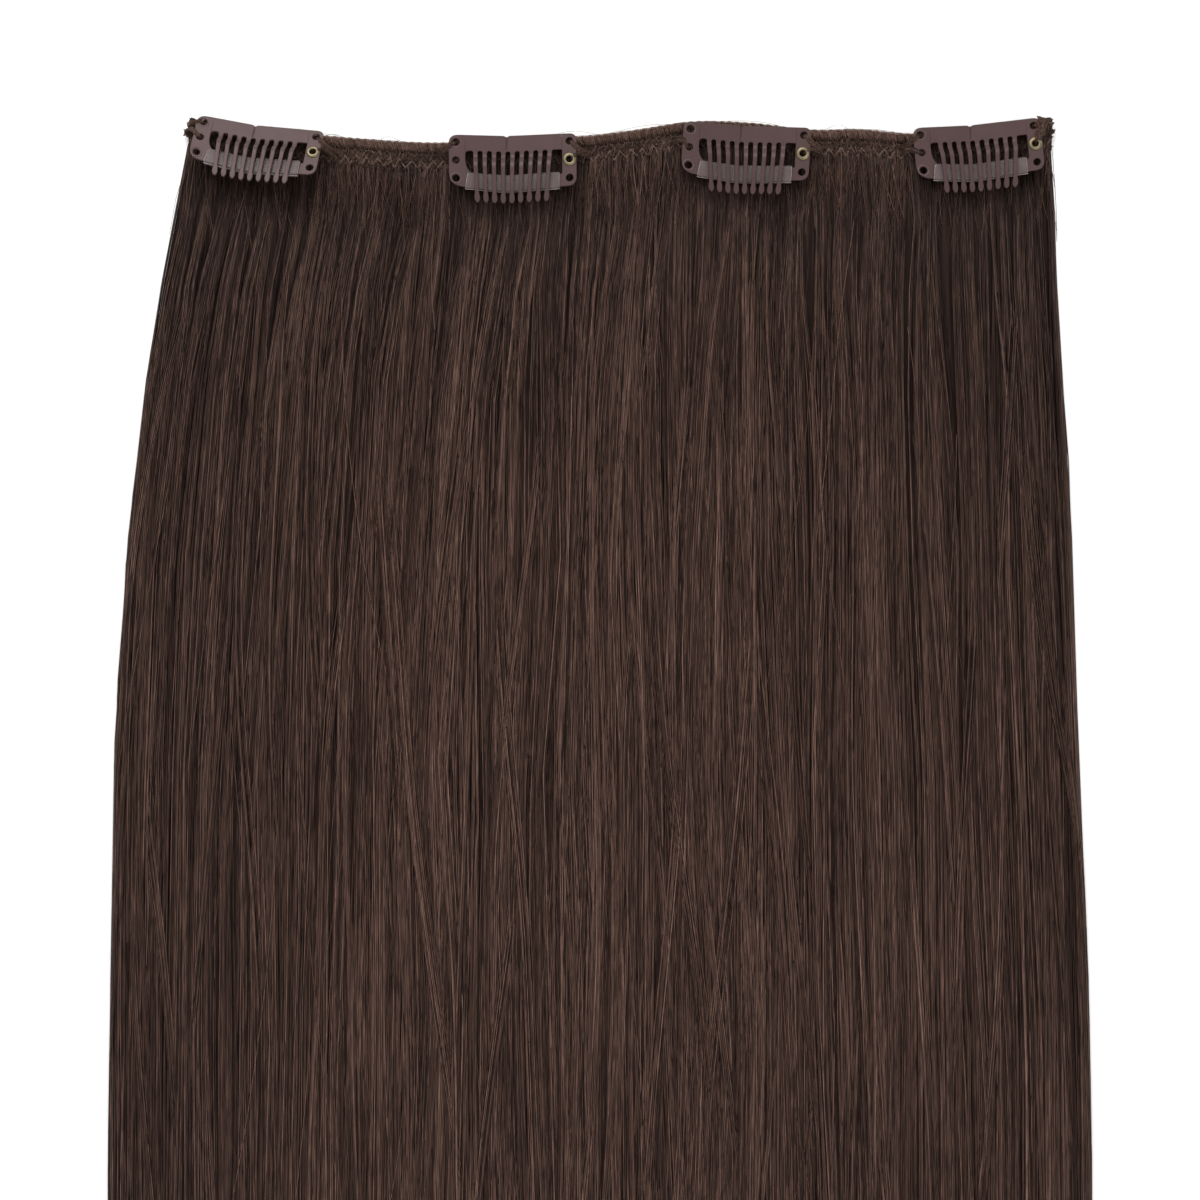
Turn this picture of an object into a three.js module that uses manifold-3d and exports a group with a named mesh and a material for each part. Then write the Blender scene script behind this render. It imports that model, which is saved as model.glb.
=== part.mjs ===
// Clip in hair extension: one wide weft of straight hair with four snap clips on its sewn track.
// Millimetres, +Z up. It lies flat with the clips on top, and the hair runs from the track to -Y.
import * as THREE from "three";
import { mergeVertices } from "three/addons/utils/BufferGeometryUtils.js";
import Module from "manifold-3d";

const wasm = await Module();
wasm.setup();

// Sizes of the weft and its hair
const weftLength = 219.7;
const weftOffset = 5.1; // the track's middle stands this far to the right of the hair's middle
const waveDepth = 5.5; // how far the track's back edge dips as it lies
const bandDepth = 7.5; // back edge to the seam where the hair comes out
const bandThickness = 3.0;
const knotRadius = 1.7;
const hairLength = 457; // back edge of the track to the longest tips
const hairSpread = 250; // widest part of the hair
const hairThickness = 4.4;
const backingThickness = 1.2;
const backingInset = 3.5; // the outer locks reach this far past the backing
const backingLength = 396;
const lockCount = 20;
const lockOverlap = 5; // how far each lock reaches over its neighbours
const lockWave = 1.6; // sideways drift of a lock
const lockWaveLength = 190;
const tipStagger = 26; // longest lock less the shortest
const swellDepth = 62; // where the hair reaches its full thickness

// Sizes of a snap clip, from the middle of its back edge
const plateLength = 32.2;
const plateDepth = 13.35;
const plateThickness = 0.5;
const backLeftRadius = 2.4;
const frontLeftRadius = 3.6;
const backRightRadius = 1.9;
const frontRightRadius = 2.4;
const leftEndWidth = 4.2;
const rightEndWidth = 3.7;
const frontBarDepth = 3.2;
const backBarDepth = 4.0;
const sewingHoleRadius = 0.93;
const sewingHoleInset = 1.8; // hole centre to the plate's end
const sewingHoleEdge = 1.95; // outer hole centre to the plate's back edge
const sewingHolePitch = 4.65;
const toothCount = 9;
const toothWidth = 1.18;
const toothReach = 17.15; // back edge to tooth tip
const leftSlotWidth = 1.9;
const rightSlotWidth = 2.5;
const slitOffset = -1.5; // the centre slit stands left of the middle
const slitWidth = 0.4;
const slitMouth = 0.9; // how far the slit's mouth is rounded off on each side
const slitBridge = 0.8; // metal left below the slit
const foldRise = 0.8; // how far the plate's ends stand above its middle
const backSag = 0.35; // how far the middle of the back edge lies towards the front
const frontSag = 0.9; // the same of the front edge
const combSag = 0.6; // the same of the comb, at the depth of the front edge
const leftLift = 0.5; // how far the plate's left end draws in towards the back at its front edge
const sleeveClearance = 0.2;
const sleeveWall = 0.35;
const sleeveEndGap = 0.9; // sleeve's right end to the right end plate
const eyeletBoreRadius = 0.79;
const eyeletFlangeRadius = 1.63;
const eyeletFlangeThickness = 0.3;
const eyeletWall = 0.28;
const eyeletClearance = 0.15;

// Clearances
const seatGap = 0.3; // between pieces that rest on or against each other
const seamGap = 0.3; // between the comb and the end plates

// The track's back edge, left to right. along: share of weftLength. dip: share of waveDepth.
const TRACK_LINE = [
  { along: 0.0, dip: 0.05 },
  { along: 0.155, dip: 0.66 },
  { along: 0.3, dip: 1.0 },
  { along: 0.385, dip: 0.8 },
  { along: 0.47, dip: 0.66 },
  { along: 0.52, dip: 0.4 },
  { along: 0.58, dip: 0.04 },
  { along: 0.65, dip: 0.09 },
  { along: 0.72, dip: 0.4 },
  { along: 0.78, dip: 0.4 },
  { along: 0.83, dip: 0.58 },
  { along: 0.92, dip: 0.31 },
  { along: 1.0, dip: 0.0 },
];

// Section of the sewn track. depth: share of bandDepth from the back edge. height: of bandThickness.
const TRACK_SECTION = [
  { depth: 0.1, height: 0.0 },
  { depth: 0.02, height: 0.2 },
  { depth: 0.0, height: 0.5 },
  { depth: 0.03, height: 0.82 },
  { depth: 0.1, height: 1.0 },
  { depth: 0.2, height: 0.97 },
  { depth: 0.28, height: 0.74 },
  { depth: 0.32, height: 0.52 },
  { depth: 0.4, height: 0.72 },
  { depth: 0.88, height: 0.7 },
  { depth: 1.0, height: 0.46 },
  { depth: 1.0, height: 0.0 },
];

// Outline of the hair as it lies. down: share of hairLength. left and right: of half hairSpread.
const HAIR_EDGES = [
  { down: 0.012, left: 0.838, right: 0.915 },
  { down: 0.045, left: 0.861, right: 0.923 },
  { down: 0.112, left: 0.905, right: 0.931 },
  { down: 0.178, left: 0.938, right: 0.95 },
  { down: 0.31, left: 0.98, right: 0.966 },
  { down: 0.476, left: 0.994, right: 0.992 },
  { down: 0.6, left: 1.0, right: 1.0 },
  { down: 0.8, left: 0.99, right: 0.985 },
  { down: 1.0, left: 0.95, right: 0.94 },
];

// Stations of a lock. reach: share of the lock's length. width: of its full width. height: of the
// hair's thickness there.
const LOCK_STATIONS = [
  { reach: 0.0, width: 1.0, height: 0.94 },
  { reach: 0.055, width: 1.0, height: 1.0 },
  { reach: 0.14, width: 1.0, height: 1.0 },
  { reach: 0.32, width: 1.0, height: 1.0 },
  { reach: 0.52, width: 1.0, height: 1.0 },
  { reach: 0.72, width: 1.0, height: 0.95 },
  { reach: 0.88, width: 0.82, height: 0.85 },
  { reach: 0.96, width: 0.5, height: 0.68 },
  { reach: 1.0, width: 0.22, height: 0.45 },
];

// Section of a lock. across: share of its width. rise: share of its height over its underside.
const LOCK_SECTION = [
  { across: -0.4, rise: 0.0 },
  { across: 0.4, rise: 0.0 },
  { across: 0.5, rise: 0.42 },
  { across: 0.22, rise: 1.0 },
  { across: -0.22, rise: 1.0 },
  { across: -0.5, rise: 0.42 },
];

// Course of a tooth. reach: share of its run from root to tip. lift: its underside as a share of the
// height that clears the sleeve. width: of toothWidth. thickness: of plateThickness.
const TOOTH_STATIONS = [
  { reach: 0.0, lift: 0.0, width: 0.96, thickness: 0.94 },
  { reach: 0.05, lift: 0.03, width: 1.0, thickness: 1.0 },
  { reach: 0.2, lift: 0.98, width: 1.0, thickness: 1.0 },
  { reach: 0.42, lift: 1.06, width: 1.0, thickness: 1.0 },
  { reach: 0.76, lift: 1.0, width: 1.0, thickness: 1.0 },
  { reach: 0.87, lift: 0.9, width: 1.04, thickness: 1.0 },
  { reach: 0.94, lift: 0.8, width: 1.28, thickness: 0.9 },
  { reach: 0.985, lift: 0.74, width: 1.0, thickness: 0.8 },
  { reach: 1.0, lift: 0.72, width: 0.45, thickness: 0.6 },
];
const toothConvergence = 0.923; // pitch of the tips as a share of the pitch of the roots

// Places of the clips. along: share of weftLength from its middle. behind: how far the clip's back
// edge stands behind the track's, as a share of bandDepth. turn: degrees, left end up negative.
// tilt: degrees that the clip's front stands up, for it lies with its back edge on the track.
const CLIP_PLACES = [
  { along: -0.412, behind: 0.12, turn: -7.8, tilt: 23 },
  { along: -0.1235, behind: 0.09, turn: 0.5, tilt: 2 },
  { along: 0.146, behind: -0.13, turn: -3.3, tilt: 0 },
  { along: 0.408, behind: 0.12, turn: 4.6, tilt: 4 },
];

// Places worked out from the sizes
const windowLeft = -plateLength / 2 + leftEndWidth;
const windowRight = plateLength / 2 - rightEndWidth;
const combLeft = windowLeft + seamGap;
const combRight = windowRight - seamGap;
const firstTooth = windowLeft + leftSlotWidth + toothWidth / 2;
const lastTooth = windowRight - rightSlotWidth - toothWidth / 2;
const toothPitch = (lastTooth - firstTooth) / (toothCount - 1);
const slotRadius = (toothPitch - toothWidth) / 2;
const stubDepth = backBarDepth + slotRadius + 0.3;
const toothRise = plateThickness + sleeveClearance + sleeveWall + seatGap;
const barMiddle = -plateDepth + frontBarDepth / 2;
const sleeveDrop = sleeveClearance + sleeveWall;
const clipBase = bandThickness + seatGap;
const trackRidge = TRACK_SECTION.find((row) => row.height === 1).depth * bandDepth;
const hairRootThickness = clipBase - sleeveDrop - seatGap;
const hairStart = bandDepth + seatGap;
const hairRoot = bandDepth / 2; // the locks start here and are cut off at hairStart
const foldReach = plateLength / 2;
const eyeletX = plateLength / 2 - sewingHoleInset;
const eyeletY = -sewingHoleEdge - sewingHolePitch;
const eyeletHoleRadius = eyeletBoreRadius + eyeletWall + eyeletClearance;

// Smooth curve through one column of a table, read at any place along another.
function columnCurve(rows, placeColumn, valueColumn) {
  const places = rows.map((row) => row[placeColumn]);
  const values = rows.map((row) => row[valueColumn]);
  const curve = new THREE.CubicInterpolant(places, values, 1, new Float64Array(1));
  return (place) => curve.evaluate(THREE.MathUtils.clamp(place, places[0], places.at(-1)))[0];
}

const trackDip = columnCurve(TRACK_LINE, "along", "dip");
const hairLeft = columnCurve(HAIR_EDGES, "down", "left");
const hairRight = columnCurve(HAIR_EDGES, "down", "right");

// Y of the track's back edge at a place across the weft.
function trackBack(x) {
  return -waveDepth * trackDip((x - weftOffset) / weftLength + 0.5);
}

// The hair's left or right edge at a depth below the track's back edge.
function hairEdge(side, depth) {
  const share = side < 0 ? hairLeft(depth / hairLength) : hairRight(depth / hairLength);
  return (side * share * hairSpread) / 2;
}

// Thickness of the hair at a depth: thin under the clips, then full.
function hairHeight(depth) {
  const swell = THREE.MathUtils.smoothstep(depth, toothReach, swellDepth);
  return THREE.MathUtils.lerp(hairRootThickness, hairThickness, swell);
}

// Y of a point of the hair: it follows the track's wave at the root and loses it by swellDepth.
function hairY(x, depth) {
  const fade = 1 - THREE.MathUtils.smoothstep(depth, hairStart, swellDepth);
  return trackBack(x) * fade - depth;
}

// A closed body through rings with equal numbers of points. Both ends are closed by a fan.
function loft(rings) {
  const count = rings[0].length;
  const index = [];
  for (let r = 0; r + 1 < rings.length; r++) {
    for (let p = 0; p < count; p++) {
      const a = r * count + p;
      const b = r * count + ((p + 1) % count);
      index.push(a, b, b + count, a, b + count, a + count);
    }
  }
  const last = (rings.length - 1) * count;
  for (let p = 1; p + 1 < count; p++) {
    index.push(0, p + 1, p);
    index.push(last, last + p, last + p + 1);
  }
  const geometry = new THREE.BufferGeometry();
  geometry.setAttribute("position", new THREE.Float32BufferAttribute(rings.flat(2), 3));
  geometry.setIndex(index);
  return geometry;
}

// A geometry as a solid that can be joined and cut.
function solidOf(geometry) {
  const bare = geometry.clone();
  bare.deleteAttribute("normal");
  bare.deleteAttribute("uv");
  const merged = mergeVertices(bare, 1e-4);
  return new wasm.Manifold(
    new wasm.Mesh({
      numProp: 3,
      vertProperties: new Float32Array(merged.attributes.position.array),
      triVerts: new Uint32Array(merged.index.array),
    }),
  );
}

// A solid back as a geometry with flat faces.
function geometryOf(solid) {
  const { vertProperties, triVerts } = solid.getMesh();
  const geometry = new THREE.BufferGeometry();
  geometry.setAttribute("position", new THREE.BufferAttribute(vertProperties, 3));
  geometry.setIndex(new THREE.BufferAttribute(triVerts, 1));
  const flat = geometry.toNonIndexed();
  flat.computeVertexNormals();
  return flat;
}

// A closed outline whose corners are rounded, each by its own radius.
function roundedShape(corners) {
  const shape = new THREE.Shape();
  corners.forEach((corner, i) => {
    const point = new THREE.Vector2(corner.x, corner.y);
    const before = corners.at(i - 1);
    const after = corners[(i + 1) % corners.length];
    const cut = (other) => {
      const way = new THREE.Vector2(other.x, other.y).sub(point);
      return way.setLength(Math.min(corner.r, way.length() / 2)).add(point);
    };
    const from = cut(before);
    const to = cut(after);
    if (i === 0) shape.moveTo(from.x, from.y);
    else shape.lineTo(from.x, from.y);
    if (corner.r > 0) shape.quadraticCurveTo(point.x, point.y, to.x, to.y);
  });
  shape.closePath();
  return shape;
}

function circlePath(x, y, radius) {
  return new THREE.Path().absarc(x, y, radius, 0, 2 * Math.PI, true);
}

function extrude(shape, depth, curveSegments) {
  return new THREE.ExtrudeGeometry(shape, { depth, curveSegments, bevelEnabled: false });
}

// One half of a flat clip piece, folded up about the line of the slit. The front and back edges sag
// towards the front at the fold by their own amounts, and the left end's front edge draws in.
function foldHalf(solid, side, middleSag, lift) {
  const size = 4 * plateLength;
  const lap = 0.01;
  const block = new THREE.BoxGeometry(size, size, size);
  block.translate(slitOffset + side * (size / 2 - lap), 0, 0);
  const geometry = geometryOf(solid.intersect(solidOf(block)));
  const position = geometry.attributes.position;
  for (let i = 0; i < position.count; i++) {
    const out = (side * (position.getX(i) - slitOffset)) / foldReach;
    const toFront = -position.getY(i) / plateDepth;
    const sag = THREE.MathUtils.lerp(backSag, middleSag, toFront) * (1 - out);
    const drawn = side < 0 ? lift * out * toFront : 0;
    position.setY(i, position.getY(i) - sag + drawn);
    position.setZ(i, position.getZ(i) + foldRise * out);
  }
  return solidOf(geometry);
}

function folded(solid, middleSag, lift) {
  const left = foldHalf(solid, -1, middleSag, lift);
  return geometryOf(left.add(foldHalf(solid, 1, middleSag, lift)));
}

// Stamped plate round the comb: two end plates joined by the front bar, with the sewing holes.
function frameGeometry() {
  const half = plateLength / 2;
  const innerRadius = 0.4;
  const barBack = -plateDepth + frontBarDepth;
  const shape = roundedShape([
    { x: -half, y: 0, r: backLeftRadius },
    { x: -half, y: -plateDepth, r: frontLeftRadius },
    { x: half, y: -plateDepth, r: frontRightRadius },
    { x: half, y: 0, r: backRightRadius },
    { x: windowRight, y: 0, r: 0 },
    { x: windowRight, y: barBack, r: innerRadius },
    { x: windowLeft, y: barBack, r: innerRadius },
    { x: windowLeft, y: 0, r: 0 },
  ]);
  for (const side of [-1, 1]) {
    for (let i = 0; i < 3; i++) {
      const x = side * (half - sewingHoleInset);
      const y = -sewingHoleEdge - i * sewingHolePitch;
      const isEyelet = side > 0 && i === 1;
      shape.holes.push(circlePath(x, y, isEyelet ? eyeletHoleRadius : sewingHoleRadius));
    }
  }
  return folded(solidOf(extrude(shape, plateThickness, 5)), frontSag, leftLift);
}

// Back bar of the comb with the slit, the rounded slot ends and the stubs of the teeth.
function combPlate() {
  const shape = new THREE.Shape();
  const slitEnd = -(backBarDepth - slitBridge);
  const halfSlit = slitWidth / 2;
  const endRadius = Math.min(leftSlotWidth, rightSlotWidth) / 3;
  shape.moveTo(combLeft, 0);
  shape.lineTo(slitOffset - slitMouth, 0);
  shape.quadraticCurveTo(slitOffset - halfSlit, 0, slitOffset - halfSlit, -slitMouth);
  shape.lineTo(slitOffset - halfSlit, slitEnd);
  shape.lineTo(slitOffset + halfSlit, slitEnd);
  shape.lineTo(slitOffset + halfSlit, -slitMouth);
  shape.quadraticCurveTo(slitOffset + halfSlit, 0, slitOffset + slitMouth, 0);
  shape.lineTo(combRight, 0);
  // Slots from right to left, each with its two upper corners rounded
  for (let slot = toothCount; slot >= 0; slot--) {
    const right = slot === toothCount ? combRight : toothRoot(slot) - toothWidth / 2;
    const left = slot === 0 ? combLeft : toothRoot(slot - 1) + toothWidth / 2;
    const radius = slot === 0 || slot === toothCount ? endRadius : slotRadius;
    if (slot < toothCount) shape.lineTo(right, -stubDepth);
    shape.lineTo(right, -backBarDepth - radius);
    shape.quadraticCurveTo(right, -backBarDepth, right - radius, -backBarDepth);
    if (right - left > 2 * radius + 0.01) shape.lineTo(left + radius, -backBarDepth);
    shape.quadraticCurveTo(left, -backBarDepth, left, -backBarDepth - radius);
    if (slot > 0) shape.lineTo(left, -stubDepth);
  }
  shape.closePath();
  return solidOf(extrude(shape, plateThickness, 3));
}

function toothRoot(i) {
  return firstTooth + i * toothPitch;
}

// One arched tooth: it rises from the back bar, clears the sleeve and ends in a drop.
function toothSolid(i) {
  const middle = (firstTooth + lastTooth) / 2;
  const root = toothRoot(i);
  const tip = middle + (root - middle) * toothConvergence;
  const start = stubDepth - 0.3;
  const rings = TOOTH_STATIONS.map((row) => {
    const x = THREE.MathUtils.lerp(root, tip, row.reach);
    const y = -THREE.MathUtils.lerp(start, toothReach, row.reach);
    const half = (toothWidth * row.width) / 2;
    const inset = (plateThickness * (1 - row.thickness)) / 2;
    const low = toothRise * row.lift + inset;
    const high = toothRise * row.lift + plateThickness - inset;
    return [
      [x - half, y, low],
      [x + half, y, low],
      [x + half, y, high],
      [x - half, y, high],
    ];
  });
  return solidOf(loft(rings));
}

function combGeometry() {
  let comb = combPlate();
  for (let i = 0; i < toothCount; i++) comb = comb.add(toothSolid(i));
  return folded(comb, combSag, 0);
}

// Silicone sleeve: a flat tube round the front bar.
function sleeveGeometry() {
  const left = windowLeft + sleeveClearance;
  const right = windowRight - sleeveEndGap;
  const tube = (clearance, radius) => {
    const halfY = frontBarDepth / 2 + clearance;
    const halfZ = plateThickness / 2 + clearance;
    return roundedShape([
      { x: -halfZ, y: -halfY, r: radius },
      { x: halfZ, y: -halfY, r: radius },
      { x: halfZ, y: halfY, r: radius },
      { x: -halfZ, y: halfY, r: radius },
    ]);
  };
  const shape = tube(sleeveClearance + sleeveWall, 0.85 * sleeveWall);
  shape.holes.push(tube(sleeveClearance, 0));
  const geometry = extrude(shape, right - left, 2);
  geometry.rotateY(Math.PI / 2);
  geometry.translate(left, barMiddle, plateThickness / 2);
  return folded(solidOf(geometry), frontSag, leftLift);
}

// Brass eyelet: a spool with a bore, its flanges over and under the plate.
function eyeletGeometry() {
  const shank = eyeletBoreRadius + eyeletWall;
  const inner = plateThickness / 2 + eyeletClearance;
  const outer = inner + eyeletFlangeThickness;
  const edge = eyeletFlangeRadius;
  const rim = eyeletFlangeThickness / 2;
  const profile = [
    [eyeletBoreRadius, -outer],
    [edge, -outer],
    [edge, -inner],
    [shank, -inner],
    [shank, inner],
    [edge, inner],
    [edge, outer - rim],
    [edge - rim, outer],
    [eyeletBoreRadius, outer],
    [eyeletBoreRadius, -outer],
  ];
  const geometry = new THREE.LatheGeometry(
    profile.map(([x, y]) => new THREE.Vector2(x, y)),
    12,
  );
  geometry.rotateX(Math.PI / 2);
  return geometryOf(solidOf(geometry));
}

// A section of depths and heights carried along the track's back line.
function alongTrack(section) {
  const stations = 28;
  const rings = [];
  for (let i = 0; i <= stations; i++) {
    const x = weftOffset + weftLength * (i / stations - 0.5);
    rings.push(section.map(({ depth, height }) => [x, trackBack(x) - depth, height]));
  }
  return solidOf(loft(rings));
}

// Sewn track with a knot at each end.
function bandGeometry() {
  const knotSquash = 0.8;
  let band = alongTrack(
    TRACK_SECTION.map(({ depth, height }) => ({
      depth: depth * bandDepth,
      height: height * bandThickness,
    })),
  );
  for (const side of [-1, 1]) {
    const x = weftOffset + (side * weftLength) / 2;
    const knot = new THREE.SphereGeometry(knotRadius, 8, 6);
    knot.scale(1, 1, knotSquash);
    knot.translate(x, trackBack(x) - knotRadius / 2, bandThickness / 2);
    band = band.add(solidOf(knot));
  }
  return geometryOf(band);
}

// The room that the track and its gap take out of the hair's root.
function trackRoom() {
  const over = 2 * bandThickness;
  return alongTrack([
    { depth: 0, height: -over },
    { depth: 0, height: over },
    { depth: hairStart, height: over },
    { depth: hairStart, height: -over },
  ]);
}

// One lock, numbered from the left: a tapered strip from the track to its own tip.
function lockSolid(i) {
  const share = (i + 0.5) / lockCount;
  const longest = Math.floor(lockCount / 2);
  const shorter = (tipStagger * (1 - Math.cos(2.4 * (i - longest)))) / 2;
  const length = hairLength - hairRoot - shorter;
  const drift = 2.1 * i;
  const under = backingThickness / 3;
  const rings = LOCK_STATIONS.map((row) => {
    const depth = hairRoot + row.reach * length;
    const left = hairEdge(-1, depth);
    const right = hairEdge(1, depth);
    const wander = Math.sin(drift + (2 * Math.PI * depth) / lockWaveLength) - Math.sin(drift);
    const inner = Math.sin(Math.PI * share);
    const x = THREE.MathUtils.lerp(left, right, share) + lockWave * wander * inner;
    const pitch = (right - left) / lockCount;
    const width = (pitch + 2 * lockOverlap * Math.min(1, 2 * inner)) * row.width;
    const top = hairHeight(depth) * row.height * (i % 2 ? 0.9 : 1);
    return LOCK_SECTION.map(({ across, rise }) => {
      const px = THREE.MathUtils.clamp(x + across * width, left, right);
      return [px, hairY(px, depth), THREE.MathUtils.lerp(under, top, rise)];
    });
  });
  return solidOf(loft(rings));
}

// Thin backing that carries the locks and lies on the surface.
function backingSolid() {
  const steps = 12;
  const points = [];
  const edgePoint = (side, depth) => {
    const x = hairEdge(side, depth) - side * backingInset;
    points.push(new THREE.Vector2(x, hairY(x, depth)));
  };
  for (let i = 0; i <= steps; i++) {
    edgePoint(-1, THREE.MathUtils.lerp(hairRoot, backingLength, i / steps));
  }
  for (let i = 0; i <= steps; i++) {
    edgePoint(1, THREE.MathUtils.lerp(backingLength, hairRoot, i / steps));
  }
  const left = hairEdge(-1, hairRoot) + backingInset;
  const right = hairEdge(1, hairRoot) - backingInset;
  const acrossSteps = 12;
  for (let i = 1; i < acrossSteps; i++) {
    const x = THREE.MathUtils.lerp(right, left, i / acrossSteps);
    points.push(new THREE.Vector2(x, hairY(x, hairRoot)));
  }
  return solidOf(extrude(new THREE.Shape(points), backingThickness, 1));
}

function hairGeometry() {
  let hair = backingSolid();
  for (let i = 0; i < lockCount; i++) hair = hair.add(lockSolid(i));
  return geometryOf(hair.subtract(trackRoom()));
}

// Materials
const hairMaterial = new THREE.MeshStandardMaterial({ color: 0x41322c, roughness: 0.5 });
const threadMaterial = new THREE.MeshStandardMaterial({ color: 0x493932, roughness: 0.8 });
const steelMaterial = new THREE.MeshStandardMaterial({
  color: 0x685858,
  roughness: 0.4,
  metalness: 0.3,
});
const siliconeMaterial = new THREE.MeshStandardMaterial({
  color: 0x9a9294,
  roughness: 0.35,
  transparent: true,
  opacity: 0.7,
});
const brassMaterial = new THREE.MeshStandardMaterial({
  color: 0xbeb46e,
  roughness: 0.3,
  metalness: 1,
});

function namedMesh(name, geometry, material) {
  const mesh = new THREE.Mesh(geometry, material);
  mesh.name = name;
  return mesh;
}

const model = new THREE.Group();
model.add(namedMesh("weft_band", bandGeometry(), threadMaterial));
model.add(namedMesh("hair", hairGeometry(), hairMaterial));

const clipGeometries = {
  frame: frameGeometry(),
  comb: combGeometry(),
  sleeve: sleeveGeometry(),
  eyelet: eyeletGeometry(),
};

// One snap clip of the row, all of its pieces in the clip's own frame.
function snapClip(number, place) {
  const clip = new THREE.Group();
  const x = weftOffset + place.along * weftLength;
  const behind = place.behind * bandDepth;
  const tilt = THREE.MathUtils.degToRad(place.tilt);
  // A tilted clip stands lower at its back edge, so that it keeps its gap over the track's ridge
  const base = clipBase - (behind + trackRidge) * Math.tan(tilt);
  clip.position.set(x, trackBack(x) + behind, base);
  clip.rotation.set(-tilt, 0, THREE.MathUtils.degToRad(place.turn), "ZYX");
  clip.add(namedMesh(`clip_frame_${number}`, clipGeometries.frame, steelMaterial));
  clip.add(namedMesh(`clip_comb_${number}`, clipGeometries.comb, steelMaterial));
  clip.add(namedMesh(`clip_sleeve_${number}`, clipGeometries.sleeve, siliconeMaterial));
  const eyelet = namedMesh(`clip_eyelet_${number}`, clipGeometries.eyelet, brassMaterial);
  const out = (eyeletX - slitOffset) / foldReach;
  const sag = THREE.MathUtils.lerp(backSag, frontSag, -eyeletY / plateDepth);
  const height = plateThickness / 2 + foldRise * out;
  eyelet.position.set(eyeletX, eyeletY - sag * (1 - out), height);
  eyelet.rotation.y = -Math.atan(foldRise / foldReach);
  clip.add(eyelet);
  return clip;
}

CLIP_PLACES.forEach((place, i) => model.add(snapClip(i + 1, place)));

// The origin is under the middle of the whole part, on the surface that it lies on.
const box = new THREE.Box3().setFromObject(model);
const middle = box.getCenter(new THREE.Vector3());
model.position.set(-middle.x, -middle.y, -box.min.z);

export default model;
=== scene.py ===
# Clip in hair extension: a wide weft of straight brown hair with four snap clips, lying flat.
# Lengths are in millimetres in the part's own frame until a mesh is made.
import math

import bmesh
import bpy
import numpy as np
from mathutils import Matrix, Vector


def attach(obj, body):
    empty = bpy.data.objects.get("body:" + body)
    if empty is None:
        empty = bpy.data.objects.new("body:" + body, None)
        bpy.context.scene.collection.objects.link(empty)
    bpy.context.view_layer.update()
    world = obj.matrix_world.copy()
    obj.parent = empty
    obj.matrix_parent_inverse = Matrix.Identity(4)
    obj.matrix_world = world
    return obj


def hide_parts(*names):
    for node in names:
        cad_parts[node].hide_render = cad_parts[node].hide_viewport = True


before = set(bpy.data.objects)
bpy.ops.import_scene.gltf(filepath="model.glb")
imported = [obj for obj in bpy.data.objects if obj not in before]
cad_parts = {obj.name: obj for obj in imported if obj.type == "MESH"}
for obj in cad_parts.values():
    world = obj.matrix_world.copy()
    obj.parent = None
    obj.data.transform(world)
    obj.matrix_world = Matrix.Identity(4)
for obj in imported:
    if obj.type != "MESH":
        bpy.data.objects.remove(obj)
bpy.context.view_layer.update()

MM = 0.001
PART_ORIGIN = np.array([0.021, 227.832, 0.0])
rng = np.random.default_rng(11)

# Sizes of the weft and its hair
WEFT_LENGTH = 219.7
WEFT_OFFSET = 5.1
WAVE_DEPTH = 5.5
BAND_DEPTH = 7.5
HAIR_LENGTH = 457.0
HAIR_SPREAD = 250.0
HAIR_THICKNESS = 4.4
LOCK_COUNT = 20
LOCK_OVERLAP = 5.0
LOCK_WAVE = 1.6
LOCK_WAVE_LENGTH = 190.0
TIP_STAGGER = 26.0
SWELL_DEPTH = 62.0
HAIR_ROOT = BAND_DEPTH / 2
HAIR_ROOT_THICKNESS = 2.45
HAIR_START = 7.8
EDGE_ROUND = 6.0
BAND_LEFT = WEFT_OFFSET - WEFT_LENGTH / 2
BAND_RIGHT = WEFT_OFFSET + WEFT_LENGTH / 2
STRAND_COUNT = 8100
WISPS_PER_LOCK = 11
HAIR_SIDES = 3
STITCH_PITCH = 0.98
STRAND_STEPS = np.array([0, 0.015, 0.04, 0.085, 0.15, 0.25, 0.38, 0.53, 0.69, 0.85, 1.0])

# Sizes of a snap clip, from the middle of its back edge
PLATE_LENGTH = 32.2
PLATE_DEPTH = 13.35
PLATE_THICKNESS = 0.5
BACK_LEFT_RADIUS = 2.4
FRONT_LEFT_RADIUS = 3.6
BACK_RIGHT_RADIUS = 1.9
FRONT_RIGHT_RADIUS = 2.4
LEFT_END_WIDTH = 4.2
RIGHT_END_WIDTH = 3.7
FRONT_BAR_DEPTH = 3.2
BACK_BAR_DEPTH = 4.0
HOLE_RADIUS = 0.93
HOLE_INSET = 1.8
HOLE_EDGE = 1.95
HOLE_PITCH = 4.65
TOOTH_COUNT = 9
TOOTH_WIDTH = 1.18
TOOTH_REACH = 17.15
LEFT_SLOT_WIDTH = 1.9
RIGHT_SLOT_WIDTH = 2.5
SLIT_OFFSET = -1.5
FOLD_RISE = 0.8
BACK_SAG = 0.35
FRONT_SAG = 0.9
COMB_SAG = 0.6
LEFT_LIFT = 0.5
TOOTH_RISE = 1.35
EYELET_BORE = 0.79
EYELET_RADIUS = 1.7
CLIP_BASE = 3.3
TRACK_RIDGE = 0.75
EYELET_HOLE = 1.2
SLEEVE_GAP = 0.5
SLEEVE_WALL = 0.3
BOSS_RADIUS = 1.36
SEAM = 0.012
CORNER = 0.45
LEFT_CORNER = 0.85
SLOT_CORNER = 0.42
BEVEL = 0.14

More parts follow.
